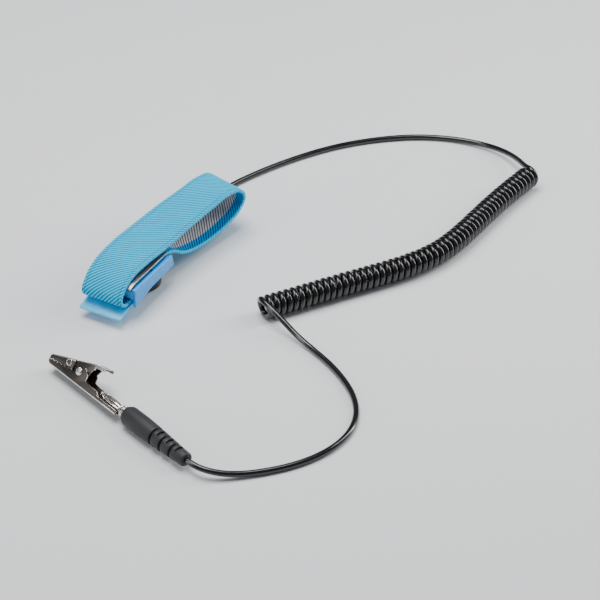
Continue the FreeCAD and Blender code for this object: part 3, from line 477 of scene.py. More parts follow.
def banded_resistor():
    """Tan body with four colour rings along X."""
    coated = new_material("resistor_coat", roughness=0.4)
    tree = coated.node_tree
    dress(coated, (0.55, 0.4, 0.25), 0.35, 0.5, scale=300.0, grain=(1500.0, 0.01))
    shader = tree.nodes["Principled BSDF"]
    place = add_node(tree, "ShaderNodeTexCoord").outputs["Object"]
    along = add_node(tree, "ShaderNodeSeparateXYZ", sockets={0: place}).outputs["X"]
    share = add_node(tree, "ShaderNodeMapRange",
                     sockets={"Value": along, "From Min": RESISTOR_SPAN[0],
                              "From Max": RESISTOR_SPAN[1]})
    rings = add_node(tree, "ShaderNodeValToRGB", sockets={"Fac": share.outputs["Result"]})
    rings.color_ramp.interpolation = "CONSTANT"
    coat = (0.55, 0.4, 0.25, 1)
    stops = [(0.0, coat), (0.14, (0.12, 0.04, 0.02, 1)), (0.22, coat),
             (0.36, (0.01, 0.01, 0.01, 1)), (0.44, coat),
             (0.54, (0.02, 0.2, 0.05, 1)), (0.62, coat), (0.8, (0.6, 0.42, 0.1, 1)),
             (0.88, coat)]
    while len(rings.color_ramp.elements) < len(stops):
        rings.color_ramp.elements.new(0.5)
    for element, (stop, colour) in zip(rings.color_ramp.elements, stops):
        element.position = stop
        element.color = colour
    tree.links.new(rings.outputs["Color"], shader.inputs["Base Color"])
    return coated


tinned = nickel("tinned_wire", (0.66, 0.66, 0.64), 0.22, 0.4)
spring_wire = nickel("spring_wire", (0.5, 0.5, 0.5), 0.2, 0.35)
refinish("resistor", banded_resistor())
refinish("resistor_wires", tinned)
refinish("wire_crimp", tinned)
refinish("ring_spring", spring_wire)


# ---- Cord relief at the head ---------------------------------------------------------------------
# Soft black sleeve moulded onto the cord and round the hole in the cup's wall. It tapers to the
# cord, with shallow rings that let it bend.

def make_relief():
    profile = [(6.0, 0), (6.0, 2.2), (8.6, 2.2), (8.6, 2.8), (10.0, 2.75)]
    for ring in range(5):
        start = 10.6 + ring * 1.7
        outer = 2.7 - (start - 10.0) * 0.085
        profile += [(start, outer), (start + 0.1, outer - 0.35), (start + 0.6, outer - 0.38),
                    (start + 0.7, outer - 0.06)]
    profile += [(19.4, 1.9), (20.0, 1.75), (20.0, 0)]
    mesh = turned(profile, 64, rounding=0.06)
    mesh.transform(Matrix.Translation((0, 0, 3.2 * MM)))
    rubber = new_material("relief_rubber", roughness=0.55)
    dress(rubber, (0.02, 0.02, 0.021), 0.45, 0.62, scale=120.0, shade=0.2, grain=(1600.0, 0.03),
          bump=0.4)
    hand_over(mesh, "cord_sleeve", "cord_set", ["cord_relief"], "relief_black", rubber)


make_relief()


# ---- Snap stud and its eyelet --------------------------------------------------------------------
# The nickel stud's ball goes into the socket. The eyelet is riveted down into the stud, and holds
# the skin plate, the band and the tray's web together.

stud = turned([(6.5, 0), (6.5, 0.9), (6.62, 1.25), (6.95, 1.75), (7.25, 1.97), (7.45, 2.0),
               (7.65, 1.97), (7.95, 1.75), (8.2, 1.5), (11.0, 1.5), (11.0, 4.3), (11.45, 4.3),
               (11.45, 1.5), (14.0, 1.5), (14.0, 0.85), (9.6, 0.85), (9.6, 0)], 72, rounding=0.06)
stud.transform(UPRIGHT)
hand_over(stud, "stud_ball", "strap", ["snap_stud"], "snap_metal", snap_nickel)

eyelet = turned([(10.0, 0), (10.0, 0.8), (14.05, 0.8), (14.05, 1.45), (16.5, 1.45), (16.5, 3.8),
                 (16.7, 3.75), (16.88, 3.3), (16.9, 1.9), (16.6, 1.4), (16.0, 1.1), (15.2, 0.9),
                 (15.2, 0)], 72, rounding=0.05)
eyelet.transform(UPRIGHT)
hand_over(eyelet, "eyelet_cap", "strap", ["stud_eyelet"], "snap_metal", snap_nickel)


# ---- Buckle tray ---------------------------------------------------------------------------------
# Blue moulded tray: two side walls with rounded rims, joined by a web. The web carries the stud,
# and the band is clamped up against its sloping rear.

def slab(outline, low, high, rounding, segments=3):
    """Solid with the given outline in X and Z, between two places along Y, its edges rounded."""
    mesh = bmesh.new()
    ring = [mesh.verts.new((x * MM, low * MM, z * MM)) for x, z in outline]
    mesh.faces.new(ring)
    grown = bmesh.ops.extrude_face_region(mesh, geom=mesh.faces[:])
    moved = [item for item in grown["geom"] if isinstance(item, bmesh.types.BMVert)]
    bmesh.ops.translate(mesh, verts=moved, vec=(0, (high - low) * MM, 0))
    bmesh.ops.recalc_face_normals(mesh, faces=mesh.faces)
    if rounding:
        round_edges(mesh, sharp_edges(mesh, 20.0), rounding, segments)
    return mesh


def join(*meshes):
    """Put several bmeshes into the first one."""
    first = meshes[0]
    for other in meshes[1:]:
        data = bpy.data.meshes.new("passing")
        other.to_mesh(data)
        other.free()
        first.from_mesh(data)
        bpy.data.meshes.remove(data)
    return first


def buckle_plastic(name, colour, edge_highlight_colour):
    moulding = new_material(name, roughness=0.35, coat=0.08, coat_roughness=0.15)
    # The lighter edge colour is a painted highlight.
    return dress(moulding, colour, 0.3, 0.42, scale=70.0, shade=0.08, grain=(1100.0, 0.02),
                 bump=0.2, edge_highlight_colour=edge_highlight_colour)


def make_tray():
    outer, inner = 12.5, 10.9
    wall = [(-24.0, 6.2), (-11.0, 8.9), (7.2, 9.3), (5.8, 15.3), (-24.0, 15.3)]
    near = slab(wall, -outer, -inner, 0.45, 4)
    far = slab(wall, inner, outer, 0.45, 4)
    web = slab([(-24.0, 10.35), (-14.5, 12.5), (-9.3, 12.5), (-9.3, 11.5), (6.6, 11.5), (6.1, 14.0),
                (-24.0, 14.0)], -inner - 0.3, inner + 0.3, 0.2)
    tray = join(near, far, web)
    blue = buckle_plastic("tray_blue", (0.0, 0.28, 0.8), (0.1, 0.55, 1.0))
    hand_over(tray, "tray_moulding", "strap", ["buckle_tray"], "buckle_blue", blue)


make_tray()


# ---- Skin plate ----------------------------------------------------------------------------------
# Polished stainless plate that touches the wrist. Its rear end is bent down round the band's end,
# and its front corners are rounded.

def make_plate():
    half = 10.5
    top = [(6.0, 16.5), (-19.4, 16.5), (-21.2, 16.42), (-22.8, 16.05), (-24.0, 15.5), (-24.6, 15.1)]
    low = [(-24.35, 14.62), (-23.7, 15.05), (-22.6, 15.5), (-21.1, 15.82), (-19.4, 15.9),
           (6.0, 15.9)]
    mesh = slab(top + low, -half, half, 0.0)
    corners = [edge for edge in mesh.edges
               if min(vertex.co.x for vertex in edge.verts) > 5.9 * MM
               and abs(edge.verts[0].co.y - edge.verts[1].co.y) < 1e-6]
    round_edges(mesh, corners, 1.6, 6)
    round_edges(mesh, sharp_edges(mesh, 40.0), 0.12, 2)
    steel = new_material("plate_steel", metallic=1.0, roughness=0.16)
    dress(steel, (0.5, 0.42, 0.36), 0.3, 0.4, scale=90.0, shade=0.1, grain=(500.0, 0.006),
          bump=0.03)
    hand_over(mesh, "skin_contact", "strap", ["skin_plate"], "plate_steel", steel)


make_plate()


# ---- Locking lever and its pin -------------------------------------------------------------------
# Bright blue lever that swings on a steel pin. Its ridged back presses the band's end to the web,
# and its lip stands out behind the tray to be lifted.

def make_lever():
    half = 10.2
    slope = 0.2447
    flap = slab([(-33.0, 4.05), (-30.5, 4.6), (-24.0, 6.3), (-11.5, 8.9), (-11.5, 10.6),
                 (-14.6, 9.8), (-24.0, 7.5), (-33.0, 5.15)], -half, half, 0.18)
    barrel = turned([(-half, 0.85), (-half, 1.7), (half, 1.7), (half, 0.85)], 40, closed=True,
                    rounding=0.12)
    barrel.transform(Matrix.Rotation(math.pi / 2, 4, "Z"))
    barrel.transform(Matrix.Translation((-11.5 * MM, 0, 10.6 * MM)))
    ridges = []
    for index in range(4):
        back = -22.6 + 1.7 * index
        base = 7.5 + (24.0 + back) * slope - 0.15
        ridges.append(slab([(back, base), (back + 1.0, base), (back + 1.0, base + 0.65)],
                           1 - half, half - 1, 0.05, 2))
    lever = join(flap, barrel, *ridges)
    cyan = buckle_plastic("lever_cyan", (0.0, 0.52, 1.0), (0.25, 0.85, 1.0))
    hand_over(lever, "lever_moulding", "lever", ["locking_lever"], "lever_cyan", cyan)


make_lever()
refinish("lever_pin", tinned)


# ---- Elastic band --------------------------------------------------------------------------------
# Woven elastic, 20 mm wide and about 1.5 mm thick, in one strip of 189 mm, from under the skin
# plate round the wrist to the lever. Its ribs slant across both sides, and a broad grey stripe of
# conductive yarn runs down the middle of the inside.

BAND_WIDE = 20.0
BAND_THICK = 1.45
BAND_STATIONS = [
    (-7.0, 14.95, 0.0, 0.0, 0.0), (-2.0, 14.95, 0.0, 0.0, 0.0), (3.0, 14.95, 0.0, 0.0, 0.0),
    (6.8, 14.75, 0.0, 0.0, 0.0), (11.3, 12.9, -0.2, -1.0, 0.0), (18.0, 8.7, -1.0, -4.0, 0.0),
    (28.0, 5.9, -2.2, -8.0, 0.0), (40.0, 5.6, -4.2, -11.0, 0.0), (50.0, 7.6, -6.2, -13.0, 0.0),
    (57.4, 11.2, -7.8, -14.0, 0.0), (60.8, 16.1, -8.3, -14.0, 0.0), (58.6, 20.3, -7.8, -14.0, 0.0),
    (51.0, 22.4, -6.2, -12.0, 0.0), (40.0, 22.1, -4.6, -9.0, 1.0), (24.0, 21.3, -2.4, -6.0, 5.0),
    (6.0, 20.6, -0.8, -4.0, 9.0), (-8.0, 20.6, 0.2, -3.0, 7.0), (-20.0, 19.0, 0.8, -3.0, 3.0),
    (-27.4, 15.4, 0.6, -2.0, 0.0), (-29.9, 11.6, 0.4, -1.0, 0.0), (-28.2, 9.1, 0.1, 0.0, 0.0),
    (-24.0, 8.95, 0.0, 0.0, 0.0), (-19.6, 10.0, 0.0, 0.0, 0.0), (-15.2, 11.1, 0.0, 0.0, 0.0),
]
BAND_LONG = 189.0
RIB_PITCH = 1.63
RIB_HEIGHT = 0.16
YARN_PITCH = 1.1
SELVAGE_RIB_PITCH = 1.65
SELVAGE_YARN_PITCH = 0.8
SELVAGE_WIDE = 1.5
# The conductive stripe fades in and out between these places across the band.
STRIPE_IN = (4.6, 5.2)
STRIPE_OUT = (14.8, 15.4)
# Painted shade in the valleys of the stripe's ribs.
STRIPE_VALLEY_SHADE = (0.06, 0.05, 0.05)


def band_edge(side):
    """Smooth line along one edge of the band: side is 1 for the far edge, -1 for the near one."""
    curve = bpy.data.curves.new("band_edge", "CURVE")
    curve.dimensions = "3D"
    line = curve.splines.new("BEZIER")
    line.bezier_points.add(len(BAND_STATIONS) - 1)
    line.resolution_u = 24
    for point, (x, high, shift, turn, lean) in zip(line.bezier_points, BAND_STATIONS):
        turn, lean = math.radians(turn), math.radians(lean)
        across = Vector((-math.sin(turn) * math.cos(lean), math.cos(turn) * math.cos(lean),
                         math.sin(lean)))
        point.co = (Vector((x, shift, high)) + across * side * BAND_WIDE / 2) * MM
        point.handle_left_type = "AUTO"
        point.handle_right_type = "AUTO"
    thing = bpy.data.objects.new("band_edge", curve)
    bpy.context.collection.objects.link(thing)
    places = line_of(thing)
    bpy.data.objects.remove(thing)
    return places


def make_band():
    near, near_length = walk(band_edge(-1))
    far, far_length = walk(band_edge(1))
    rows, columns = 560, 44
    mesh = bmesh.new()
    bmesh.ops.create_grid(mesh, x_segments=rows, y_segments=columns, size=0.5)
    lay = mesh.loops.layers.uv.new("weave")
    for face in mesh.faces:
        for loop in face.loops:
            loop[lay].uv = (loop.vert.co.y + 0.5, loop.vert.co.x + 0.5)
    for vertex in mesh.verts:
        along, across = vertex.co.x + 0.5, vertex.co.y + 0.5
        top, heading = far(along * far_length)
        bottom, other_heading = near(along * near_length)
        middle = top.lerp(bottom, across)
        normal = (heading + other_heading).cross(bottom - top).normalized()
        phase = (across * BAND_WIDE + along * BAND_LONG) / RIB_PITCH
        rib = RIB_HEIGHT * math.sin(math.pi * (phase % 1.0)) ** 0.7
        fade = min(1.0, min(across, 1.0 - across) * 14.0)
        vertex.co = middle + normal * (rib * fade + BAND_THICK / 2 - RIB_HEIGHT) * MM
    bmesh.ops.recalc_face_normals(mesh, faces=mesh.faces)
    return mesh


def weave_group():
    """Ribs and the yarns that make them, from a phase across the ribs and one along them, with a
    mask of painted shade in the valleys between them.
    """
    group, given, result = new_group(
        "weave",
        [("Rib phase", "NodeSocketFloat", 0.0), ("Yarn phase", "NodeSocketFloat", 0.0),
         ("Vector", "NodeSocketVector", None)],
        [("Height", "NodeSocketFloat"), ("Valley shade", "NodeSocketFloat")])
    wave = math_of(group, "SINE", math_of(group, "MULTIPLY", given["Rib phase"], math.pi))
    rib = math_of(group, "POWER", math_of(group, "ABSOLUTE", wave), 0.7)
    row = math_of(group, "FLOOR", given["Rib phase"])
    shifted = math_of(group, "MULTIPLY_ADD", row, 0.5, given["Yarn phase"])
    stitch = math_of(group, "ABSOLUTE",
                     math_of(group, "SINE", math_of(group, "MULTIPLY", shifted, math.pi)))
    fuzz = add_node(group, "ShaderNodeTexNoise",
                    sockets={"Vector": given["Vector"], "Scale": 2600.0, "Detail": 3.0})
    height = math_of(group, "MULTIPLY_ADD", stitch, 0.3, rib)
    height = math_of(group, "MULTIPLY_ADD", fuzz.outputs["Fac"], 0.25, height)
    group.links.new(height, result["Height"])
    # Painted shade: the low parts between ribs and stitches are darkened.
    shaded_valley = add_node(group, "ShaderNodeMapRange",
                      sockets={"Value": math_of(group, "MULTIPLY_ADD", stitch, 0.22, rib),
                               "From Min": 0.42, "From Max": 1.12, "To Min": 1.0, "To Max": 0.0})
    group.links.new(shaded_valley.outputs["Result"], result["Valley shade"])
    return group


WEAVE = weave_group()


def woven(name, ridge, shaded_valley, slanting, stripe=None):
    """Cloth whose ribs slant over it or run straight across it, with painted shade in the rib
    valleys and a line of painted shade inside each selvage.
    """
    cloth = new_material(name, roughness=0.85, specular=0.1)
    tree = cloth.node_tree
    shader = tree.nodes["Principled BSDF"]
    shader.inputs["Sheen Weight"].default_value = 0.03
    shader.inputs["Sheen Roughness"].default_value = 0.4
    place = add_node(tree, "ShaderNodeTexCoord").outputs["Object"]
    flat = add_node(tree, "ShaderNodeUVMap", uv_map="weave").outputs["UV"]
    parts = add_node(tree, "ShaderNodeSeparateXYZ", sockets={0: flat})
    across = math_of(tree, "MULTIPLY", parts.outputs["X"], BAND_WIDE)
    along = math_of(tree, "MULTIPLY", parts.outputs["Y"], BAND_LONG)
    if slanting:
        rib_phase = math_of(tree, "DIVIDE", math_of(tree, "ADD", across, along), RIB_PITCH)
        yarn_phase = math_of(tree, "DIVIDE", math_of(tree, "SUBTRACT", across, along),
                             YARN_PITCH)
    else:
        rib_phase = math_of(tree, "DIVIDE", along, SELVAGE_RIB_PITCH)
        yarn_phase = math_of(tree, "DIVIDE", across, SELVAGE_YARN_PITCH)
    ribs = add_node(tree, "ShaderNodeGroup", node_tree=WEAVE,
                    sockets={"Rib phase": rib_phase, "Yarn phase": yarn_phase, "Vector": place})
    high_colour, shade_colour = (*ridge, 1), (*shaded_valley, 1)
    if stripe is not None:
        edge_in = add_node(tree, "ShaderNodeMapRange",
                           sockets={"Value": across, "From Min": STRIPE_IN[0],
                                    "From Max": STRIPE_IN[1]})
        edge_out = add_node(tree, "ShaderNodeMapRange",
                            sockets={"Value": across, "From Min": STRIPE_OUT[0],
                                     "From Max": STRIPE_OUT[1], "To Min": 1.0, "To Max": 0.0})
        within = math_of(tree, "MULTIPLY", edge_in.outputs["Result"], edge_out.outputs["Result"])
        high_colour = add_node(tree, "ShaderNodeMix", data_type="RGBA",
                               sockets={0: within, 6: (*ridge, 1), 7: (*stripe, 1)}).outputs[2]
        shade_colour = add_node(tree, "ShaderNodeMix", data_type="RGBA",
                              sockets={0: within, 6: (*shaded_valley, 1),
                                       7: (*STRIPE_VALLEY_SHADE, 1)}).outputs[2]
    faded = add_node(tree, "ShaderNodeGroup", node_tree=HANDLING,
                     sockets={"Vector": place, "Scale": 70.0, "Low": 0.75, "High": 0.95,
                              "Colour": high_colour, "Shade": 0.12})
    off_middle = math_of(tree, "ABSOLUTE", math_of(tree, "SUBTRACT", across, BAND_WIDE / 2))
    off_line = math_of(tree, "ABSOLUTE", math_of(tree, "SUBTRACT", off_middle,
                                                 BAND_WIDE / 2 - SELVAGE_WIDE))
    # Painted shade along a line inside each selvage, as if in a groove.
    groove_shade = add_node(tree, "ShaderNodeMapRange",
                      sockets={"Value": off_line, "From Min": 0.08, "From Max": 0.3, "To Min": 0.65,
                               "To Max": 0.0})
    dark = math_of(tree, "MAXIMUM", ribs.outputs["Valley shade"], groove_shade.outputs["Result"])
    shown = add_node(tree, "ShaderNodeMix", data_type="RGBA",
                     sockets={0: dark, 6: faded.outputs["Colour"], 7: shade_colour})
    tree.links.new(shown.outputs[2], shader.inputs["Base Color"])
    tree.links.new(faded.outputs["Roughness"], shader.inputs["Roughness"])
    relief = add_node(tree, "ShaderNodeBump",
                      sockets={"Strength": 0.8, "Distance": 0.22 * MM,
                               "Height": ribs.outputs["Height"]})
    tree.links.new(relief.outputs["Normal"], shader.inputs["Normal"])
    return cloth


# The second colour of each cloth is the painted shade in its rib valleys.
band_outside = woven("band_outside", (0.0, 0.66, 1.0), (0.0, 0.08, 0.28), slanting=True)
band_inside = woven("band_inside", (0.0, 0.5, 1.0), (0.0, 0.04, 0.2), slanting=True,
                    stripe=(0.95, 0.9, 0.88))
band_selvage = woven("band_selvage", (0.02, 0.66, 1.0), (0.0, 0.34, 0.72), slanting=False)

band = hand_over(make_band(), "wrist_band", "strap", ["elastic_band"], "band_blue",
                 band_outside, band_inside, band_selvage)
thickness = band.modifiers.new("thickness", "SOLIDIFY")
thickness.thickness = BAND_THICK * MM
thickness.offset = -1.0
thickness.use_rim = True
thickness.material_offset = 1
thickness.material_offset_rim = 2


# ---- Boot ----------------------------------------------------------------------------------------
# Dark grey matte rubber, moulded over the plug's shank and the cord's end. Its cord end has three
# deep rings, with short slots above and below between them, so that it bends gradually.

PLUG_PLACE = Matrix.Translation((-82.2 * MM, -45.2 * MM, 4.4 * MM)) @ Matrix.Rotation(
    math.radians(71.0), 4, "Z")
CLIP_PLACE = PLUG_PLACE @ Matrix.Rotation(math.radians(38.0), 4, "X")


RING_FIRST = 18.4
RING_STEP = 5.6
RING_COUNT = 3
RING_WIDE = 1.3
RING_DEEP = 1.15
SLOT_BEHIND = 2.75
SLOT_LONG = 1.2
SLOT_HALF_WIDE = 1.75
BOOT_RADIUS = 4.0


def make_boot():
    slope = (BOOT_RADIUS - 2.9) / (37.5 - RING_FIRST)
    profile = [(0, 1.5), (0, 3.0), (-0.25, 3.35), (-1.8, 4.15), (-2.6, 4.3), (-10.8, 4.3),
               (-RING_FIRST, BOOT_RADIUS)]

    def radius_at(back):
        return BOOT_RADIUS - (back - RING_FIRST) * slope

    for index in range(RING_COUNT):
        back = RING_FIRST + RING_STEP * index
        near, far = radius_at(back), radius_at(back + RING_WIDE)
        if index:
            profile.append((-back, near))
        profile += [(-back - 0.12, near - RING_DEEP), (-back - 1.18, far - RING_DEEP),
                    (-back - RING_WIDE, far)]
        slot_start, slot_end = back + SLOT_BEHIND, back + SLOT_BEHIND + SLOT_LONG
        profile += [(-slot_start, radius_at(slot_start)), (-slot_end, radius_at(slot_end))]
    profile += [(-36.9, 2.95), (-37.35, 2.75), (-37.5, 2.3), (-37.5, 0)]
    mesh = turned(profile, 96)
    slots = []
    for face in mesh.faces:
        middle = face.calc_center_median() / MM
        for index in range(RING_COUNT):
            start = RING_FIRST + RING_STEP * index + SLOT_BEHIND
            if -start - SLOT_LONG < middle.x < -start and abs(middle.y) < SLOT_HALF_WIDE:
                slots.append(face)
    for side in (1, -1):
        picked = [face for face in slots
                  if face.is_valid and face.calc_center_median().z * side > 0]
        bmesh.ops.inset_region(mesh, faces=picked, thickness=0.02 * MM, depth=0.0,
                               use_even_offset=True)
        deep = {vertex for face in picked for vertex in face.verts}
        bmesh.ops.translate(mesh, verts=list(deep), vec=(0, 0, -side * 1.0 * MM))
    round_edges(mesh, sharp_edges(mesh, 50.0), 0.09, 2)
    mesh.transform(PLUG_PLACE)
    rubber = new_material("boot_rubber", roughness=0.6, specular=0.4)
    # The lighter edge colour is a painted highlight.
    dress(rubber, (0.022, 0.022, 0.025), 0.45, 0.6, scale=100.0, shade=0.15, grain=(1500.0, 0.035),
          bump=0.45, edge_highlight_colour=(0.06, 0.06, 0.065), edge=(0.53, 0.66))
    return hand_over(mesh, "boot_moulding", "cord_set", ["clip_boot"], "boot_grey", rubber)


boot = make_boot()


# ---- Banana plug ---------------------------------------------------------------------------------
# Nickel-plated brass: a shank held in the boot, a ring in front of it, and a thin core inside a
# sleeve of six springy leaves, which is fattest in the middle.

plug_nickel = nickel("plug_nickel", (0.8, 0.78, 0.72), 0.08, 0.2)

core = turned([(-9.0, 0), (-9.0, 1.5), (2.3, 1.5), (2.3, 1.15), (15.2, 1.15), (15.2, 1.6),
               (15.8, 1.6), (16.6, 1.2), (17.0, 0.7), (17.0, 0)], 48, rounding=0.06)
core.transform(PLUG_PLACE)
plug_core = hand_over(core, "plug_core", "cord_set", ["plug_pin"], "plug_nickel", plug_nickel)

ring = turned([(0.2, 1.5), (0.2, 2.5), (0.4, 2.65), (1.0, 2.65), (1.15, 2.5), (1.3, 2.65),
               (1.9, 2.65), (2.3, 2.25), (2.3, 1.5)], 64, closed=True, rounding=0.06)
ring.transform(PLUG_PLACE)
plug_ring = hand_over(ring, "plug_ring", "cord_set", ["plug_collar"], "plug_nickel", plug_nickel)


def make_leaves():
    """Sleeve with six long slots between its leaves."""
    mesh = turned([(3.0, 1.55), (4.0, 1.6), (4.6, 1.66), (6.0, 1.86), (7.4, 1.97), (9.0, 2.0),
                   (10.6, 1.97), (12.0, 1.86), (13.4, 1.68), (14.0, 1.62), (15.0, 1.56)], 72)
    gone = []
    for face in mesh.faces:
        middle = face.calc_center_median() / MM
        turn = math.degrees(math.atan2(middle.z, middle.y)) % 60.0
        if 4.6 < middle.x < 13.4 and min(turn, 60.0 - turn) < 8.0:
            gone.append(face)
    bmesh.ops.delete(mesh, geom=gone, context="FACES")
    mesh.transform(PLUG_PLACE)
    sleeve = hand_over(mesh, "plug_leaves", "cord_set", ["plug_cage"], "plug_nickel", plug_nickel)
    wall = sleeve.modifiers.new("wall", "SOLIDIFY")
    wall.thickness = 0.3 * MM
    wall.offset = -1.0
    return sleeve


plug_leaves = make_leaves()


# ---- Alligator clip: lower jaw -------------------------------------------------------------------
# Steel sheet, about 0.6 mm thick, bent to a channel and nickel plated. Its rear is a trough that
# grips the plug, its ears carry the rivet, and its edges are toothed towards the tip.

def clip_nickel(name, colour, low, high):
    plated = new_material(name, metallic=1.0, roughness=0.2)
    return dress(plated, colour, low, high, scale=140.0, shade=0.3, grain=(420.0, 0.03), bump=0.25)


# The flat sides are dull and painted dark, a painted reflection of dark surroundings, and the folds
# and cut edges are painted bright as a painted highlight.
clip_metal = [clip_nickel("clip_side_painted_dark", (0.1, 0.088, 0.08), 0.3, 0.48),
              clip_nickel("clip_rim_painted_highlight", (0.93, 0.92, 0.9), 0.16, 0.3),
              clip_nickel("clip_inside", (0.22, 0.17, 0.11), 0.3, 0.5)]


TEETH = 5
TOOTH_DEPTH = 0.7
JAW_HALF_WIDE = 3.45
NECK_HALF_WIDE = 2.7
EAR_MIDDLE = (28.0, 1.9)
EAR_RADIUS = 3.75
# Slot of the painted highlight colour on the clip's folds, rims and plates.
PAINTED_HIGHLIGHT_RIM = 1


def bite(tip, root):
    """Toothed line from the tip back to the root of the bite."""
    line = []
    for step in range(TEETH * 2 + 1):
        share = step / (TEETH * 2)
        drop = TOOTH_DEPTH if step % 2 else 0.0
        line.append((tip[0] + (root[0] - tip[0]) * share,
                     tip[1] + (root[1] - tip[1]) * share - drop))
    return line


def channel(side_line, half_width, spine):
    """Sheet bent to a channel, and its folds. The two sides are joined along the first points."""
    mesh = bmesh.new()
    near = [mesh.verts.new((x * MM, -half_width * MM, z * MM)) for x, z in side_line]
    far = [mesh.verts.new((x * MM, half_width * MM, z * MM)) for x, z in side_line]
    mesh.faces.new(near)
    mesh.faces.new(list(reversed(far)))
    for step in range(spine - 1):
        mesh.faces.new((near[step], far[step], far[step + 1], near[step + 1]))
    bmesh.ops.recalc_face_normals(mesh, faces=mesh.faces)
    return mesh, sharp_edges(mesh, 60.0)


def ear_points(first, last, count):
    """Points round the ear, between two angles in degrees."""
    points = []
    for step in range(count + 1):
        angle = math.radians(first + (last - first) * step / count)
        points.append((EAR_MIDDLE[0] + EAR_RADIUS * math.cos(angle),
                       EAR_MIDDLE[1] + EAR_RADIUS * math.sin(angle)))
    return points


def finish_sheet(sheet, thick):
    """Give a bent sheet its thickness, and break its cut edges."""
    wall = sheet.modifiers.new("wall", "SOLIDIFY")
    wall.thickness = thick * MM
    wall.offset = -1.0
    wall.use_even_offset = True
    wall.material_offset = 2
    # The cut rims take the painted highlight colour.
    wall.material_offset_rim = PAINTED_HIGHLIGHT_RIM
    edges = sheet.modifiers.new("edges", "BEVEL")
    edges.width = 0.15 * MM
    edges.segments = 2
    edges.limit_method = "ANGLE"
    edges.angle_limit = math.radians(40.0)


def make_lower_jaw():
    spine = [(2.6, -2.45), (14.0, -2.45), (30.0, -2.45), (46.4, -2.45), (47.2, -1.6)]
    top = bite((47.2, 0.15), (36.6, 1.65))
    rear = [(33.4, 1.65), (32.2, 1.4)] + ear_points(0, 190, 14) + [
        (23.5, 1.0), (21.0, 0.8), (16.6, 0.8), (15.9, 0.5), (14.9, -0.5), (14.2, -0.8), (2.6, -0.8)]
    mesh, folds = channel(spine + top + rear, JAW_HALF_WIDE, len(spine))
    # The rounded folds take the painted highlight colour.
    round_edges(mesh, folds, 0.6, 4, slot=PAINTED_HIGHLIGHT_RIM)
    mesh.transform(CLIP_PLACE)
    jaw = hand_over(mesh, "jaw_with_trough", "clip", ["lower_jaw"], "clip_nickel", *clip_metal)
    finish_sheet(jaw, 0.55)


make_lower_jaw()


# ---- Alligator clip: upper jaw, rivet and spring -------------------------------------------------
# The upper jaw is bent from the same sheet, with a raised ring on one side. It swings on the rivet
# between the ears, with a spring coiled round the rivet, and its back is a pierced thumb plate.

def make_upper_jaw():
    nose_top = [(33.5, 6.15), (40.0, 4.15), (46.7, 2.1), (47.2, 1.6)]
    nose, folds = channel(nose_top + bite((47.2, 0.35), (36.6, 1.85)) + [(33.5, 1.85)],
                          JAW_HALF_WIDE, len(nose_top))
    # The rounded folds take the painted highlight colour.
    round_edges(nose, folds, 0.5, 4, slot=PAINTED_HIGHLIGHT_RIM)
    neck_top = [(23.2, 9.55), (28.0, 7.95), (35.0, 5.7)]
    neck_low = [(35.0, 2.2), (31.7, 1.1), (27.5, 1.1), (25.4, 2.9), (24.7, 4.4), (24.0, 6.0),
                (23.2, 7.6)]
    neck, folds = channel(neck_top + neck_low, NECK_HALF_WIDE, len(neck_top))
    round_edges(neck, folds, 0.45, 3, slot=PAINTED_HIGHLIGHT_RIM)
    boss = turned([(3.35, 1.15), (3.62, 1.22), (3.68, 1.35), (3.62, 1.48), (3.35, 1.55)], 48,
                  closed=True)
    boss.transform(Matrix.Translation((36.4 * MM, 0, 3.55 * MM))
                   @ Matrix.Rotation(math.pi / 2, 4, "Z"))
    jaw = join(nose, neck)
    jaw.transform(CLIP_PLACE)
    boss.transform(CLIP_PLACE)
    # The raised ring takes the painted highlight colour all over.
    for face in boss.faces:
        face.material_index = PAINTED_HIGHLIGHT_RIM
    hand_over(boss, "jaw_boss", "clip_jaw", [], "clip_nickel", *clip_metal)
    bent = hand_over(jaw, "jaw_with_thumb", "clip_jaw", ["upper_jaw"], "clip_nickel", *clip_metal)
    finish_sheet(bent, 0.5)


THUMB_LONG = 5.7
THUMB_GRID_WIDE = 7.8
THUMB_FLAT_HALF = 2.6
THUMB_RIM_HALF = 2.72


def plate_hole(middle):
    """Whether a place on the thumb plate is in its round hole or in its long one."""
    round_hole = math.hypot(middle.x - 1.7, middle.y) < 0.62
    return round_hole or math.hypot(max(abs(middle.x + 0.6) - 0.4, 0), middle.y) < 0.78


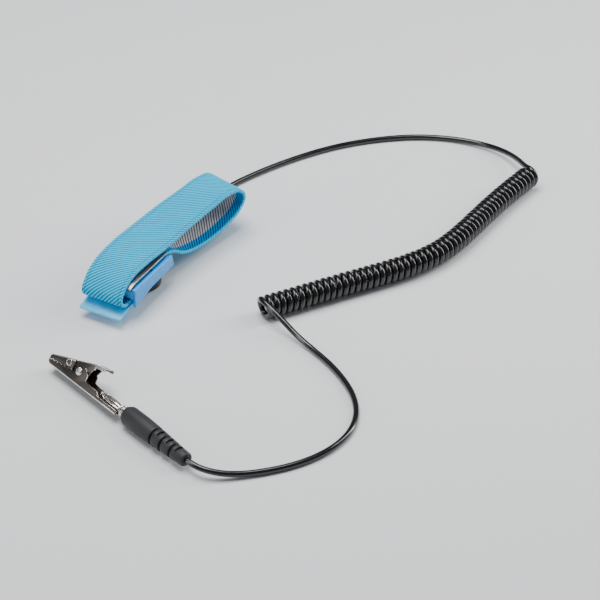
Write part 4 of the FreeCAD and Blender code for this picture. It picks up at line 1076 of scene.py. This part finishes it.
def make_thumb_plate():
    """Thumb plate with a round hole and a long one, and its two edges folded down a little."""
    mesh = bmesh.new()
    bmesh.ops.create_grid(mesh, x_segments=24, y_segments=24, size=0.5)
    for vertex in mesh.verts:
        vertex.co = Vector((vertex.co.x * THUMB_LONG, vertex.co.y * THUMB_GRID_WIDE, 0))
    pierced = [face for face in mesh.faces if plate_hole(face.calc_center_median())]
    bmesh.ops.delete(mesh, geom=pierced, context="FACES")
    for vertex in mesh.verts:
        down = max(abs(vertex.co.y) - THUMB_FLAT_HALF, 0)
        if down:
            vertex.co = Vector((vertex.co.x, math.copysign(THUMB_RIM_HALF, vertex.co.y), -down))
    bmesh.ops.recalc_face_normals(mesh, faces=mesh.faces)
    if max(mesh.faces, key=lambda face: face.calc_center_median().z).normal.z < 0:
        bmesh.ops.reverse_faces(mesh, faces=mesh.faces)
    # The whole thumb plate takes the painted highlight colour.
    for face in mesh.faces:
        face.material_index = PAINTED_HIGHLIGHT_RIM
    place = Matrix.Translation((20.8, 0, 9.77)) @ Matrix.Rotation(math.atan2(0.65, 5.6), 4, "Y")
    mesh.transform(Matrix.Scale(MM, 4) @ place)
    mesh.transform(CLIP_PLACE)
    plate = hand_over(mesh, "thumb_plate", "clip_jaw", [], "clip_nickel", *clip_metal)
    finish_sheet(plate, 0.6)


def make_rivet():
    """Rivet with a domed, grooved head on each side."""
    mesh = turned([(-3.95, 0), (-3.95, 0.9), (-3.8, 1.4), (-3.5, 1.7), (-3.4, 1.7), (-3.4, 1.2),
                   (3.4, 1.2), (3.4, 1.7), (3.5, 1.7), (3.8, 1.4), (3.95, 0.9), (3.95, 0)], 48)
    for vertex in mesh.verts:
        if abs(vertex.co.x) > 3.7 * MM and abs(vertex.co.y) < 0.3 * MM:
            vertex.co.x *= 0.93
    mesh.transform(Matrix.Rotation(math.pi / 2, 4, "Z"))
    mesh.transform(Matrix.Translation((29.5 * MM, 0, 2.9 * MM)))
    mesh.transform(CLIP_PLACE)
    rivet_metal = nickel("rivet_metal", (0.82, 0.8, 0.77), 0.12, 0.25)
    hand_over(mesh, "jaw_rivet", "clip", ["pivot_rivet"], "clip_nickel", rivet_metal)


make_upper_jaw()
make_thumb_plate()
make_rivet()
refinish("jaw_spring", spring_wire)


bpy.context.view_layer.update()
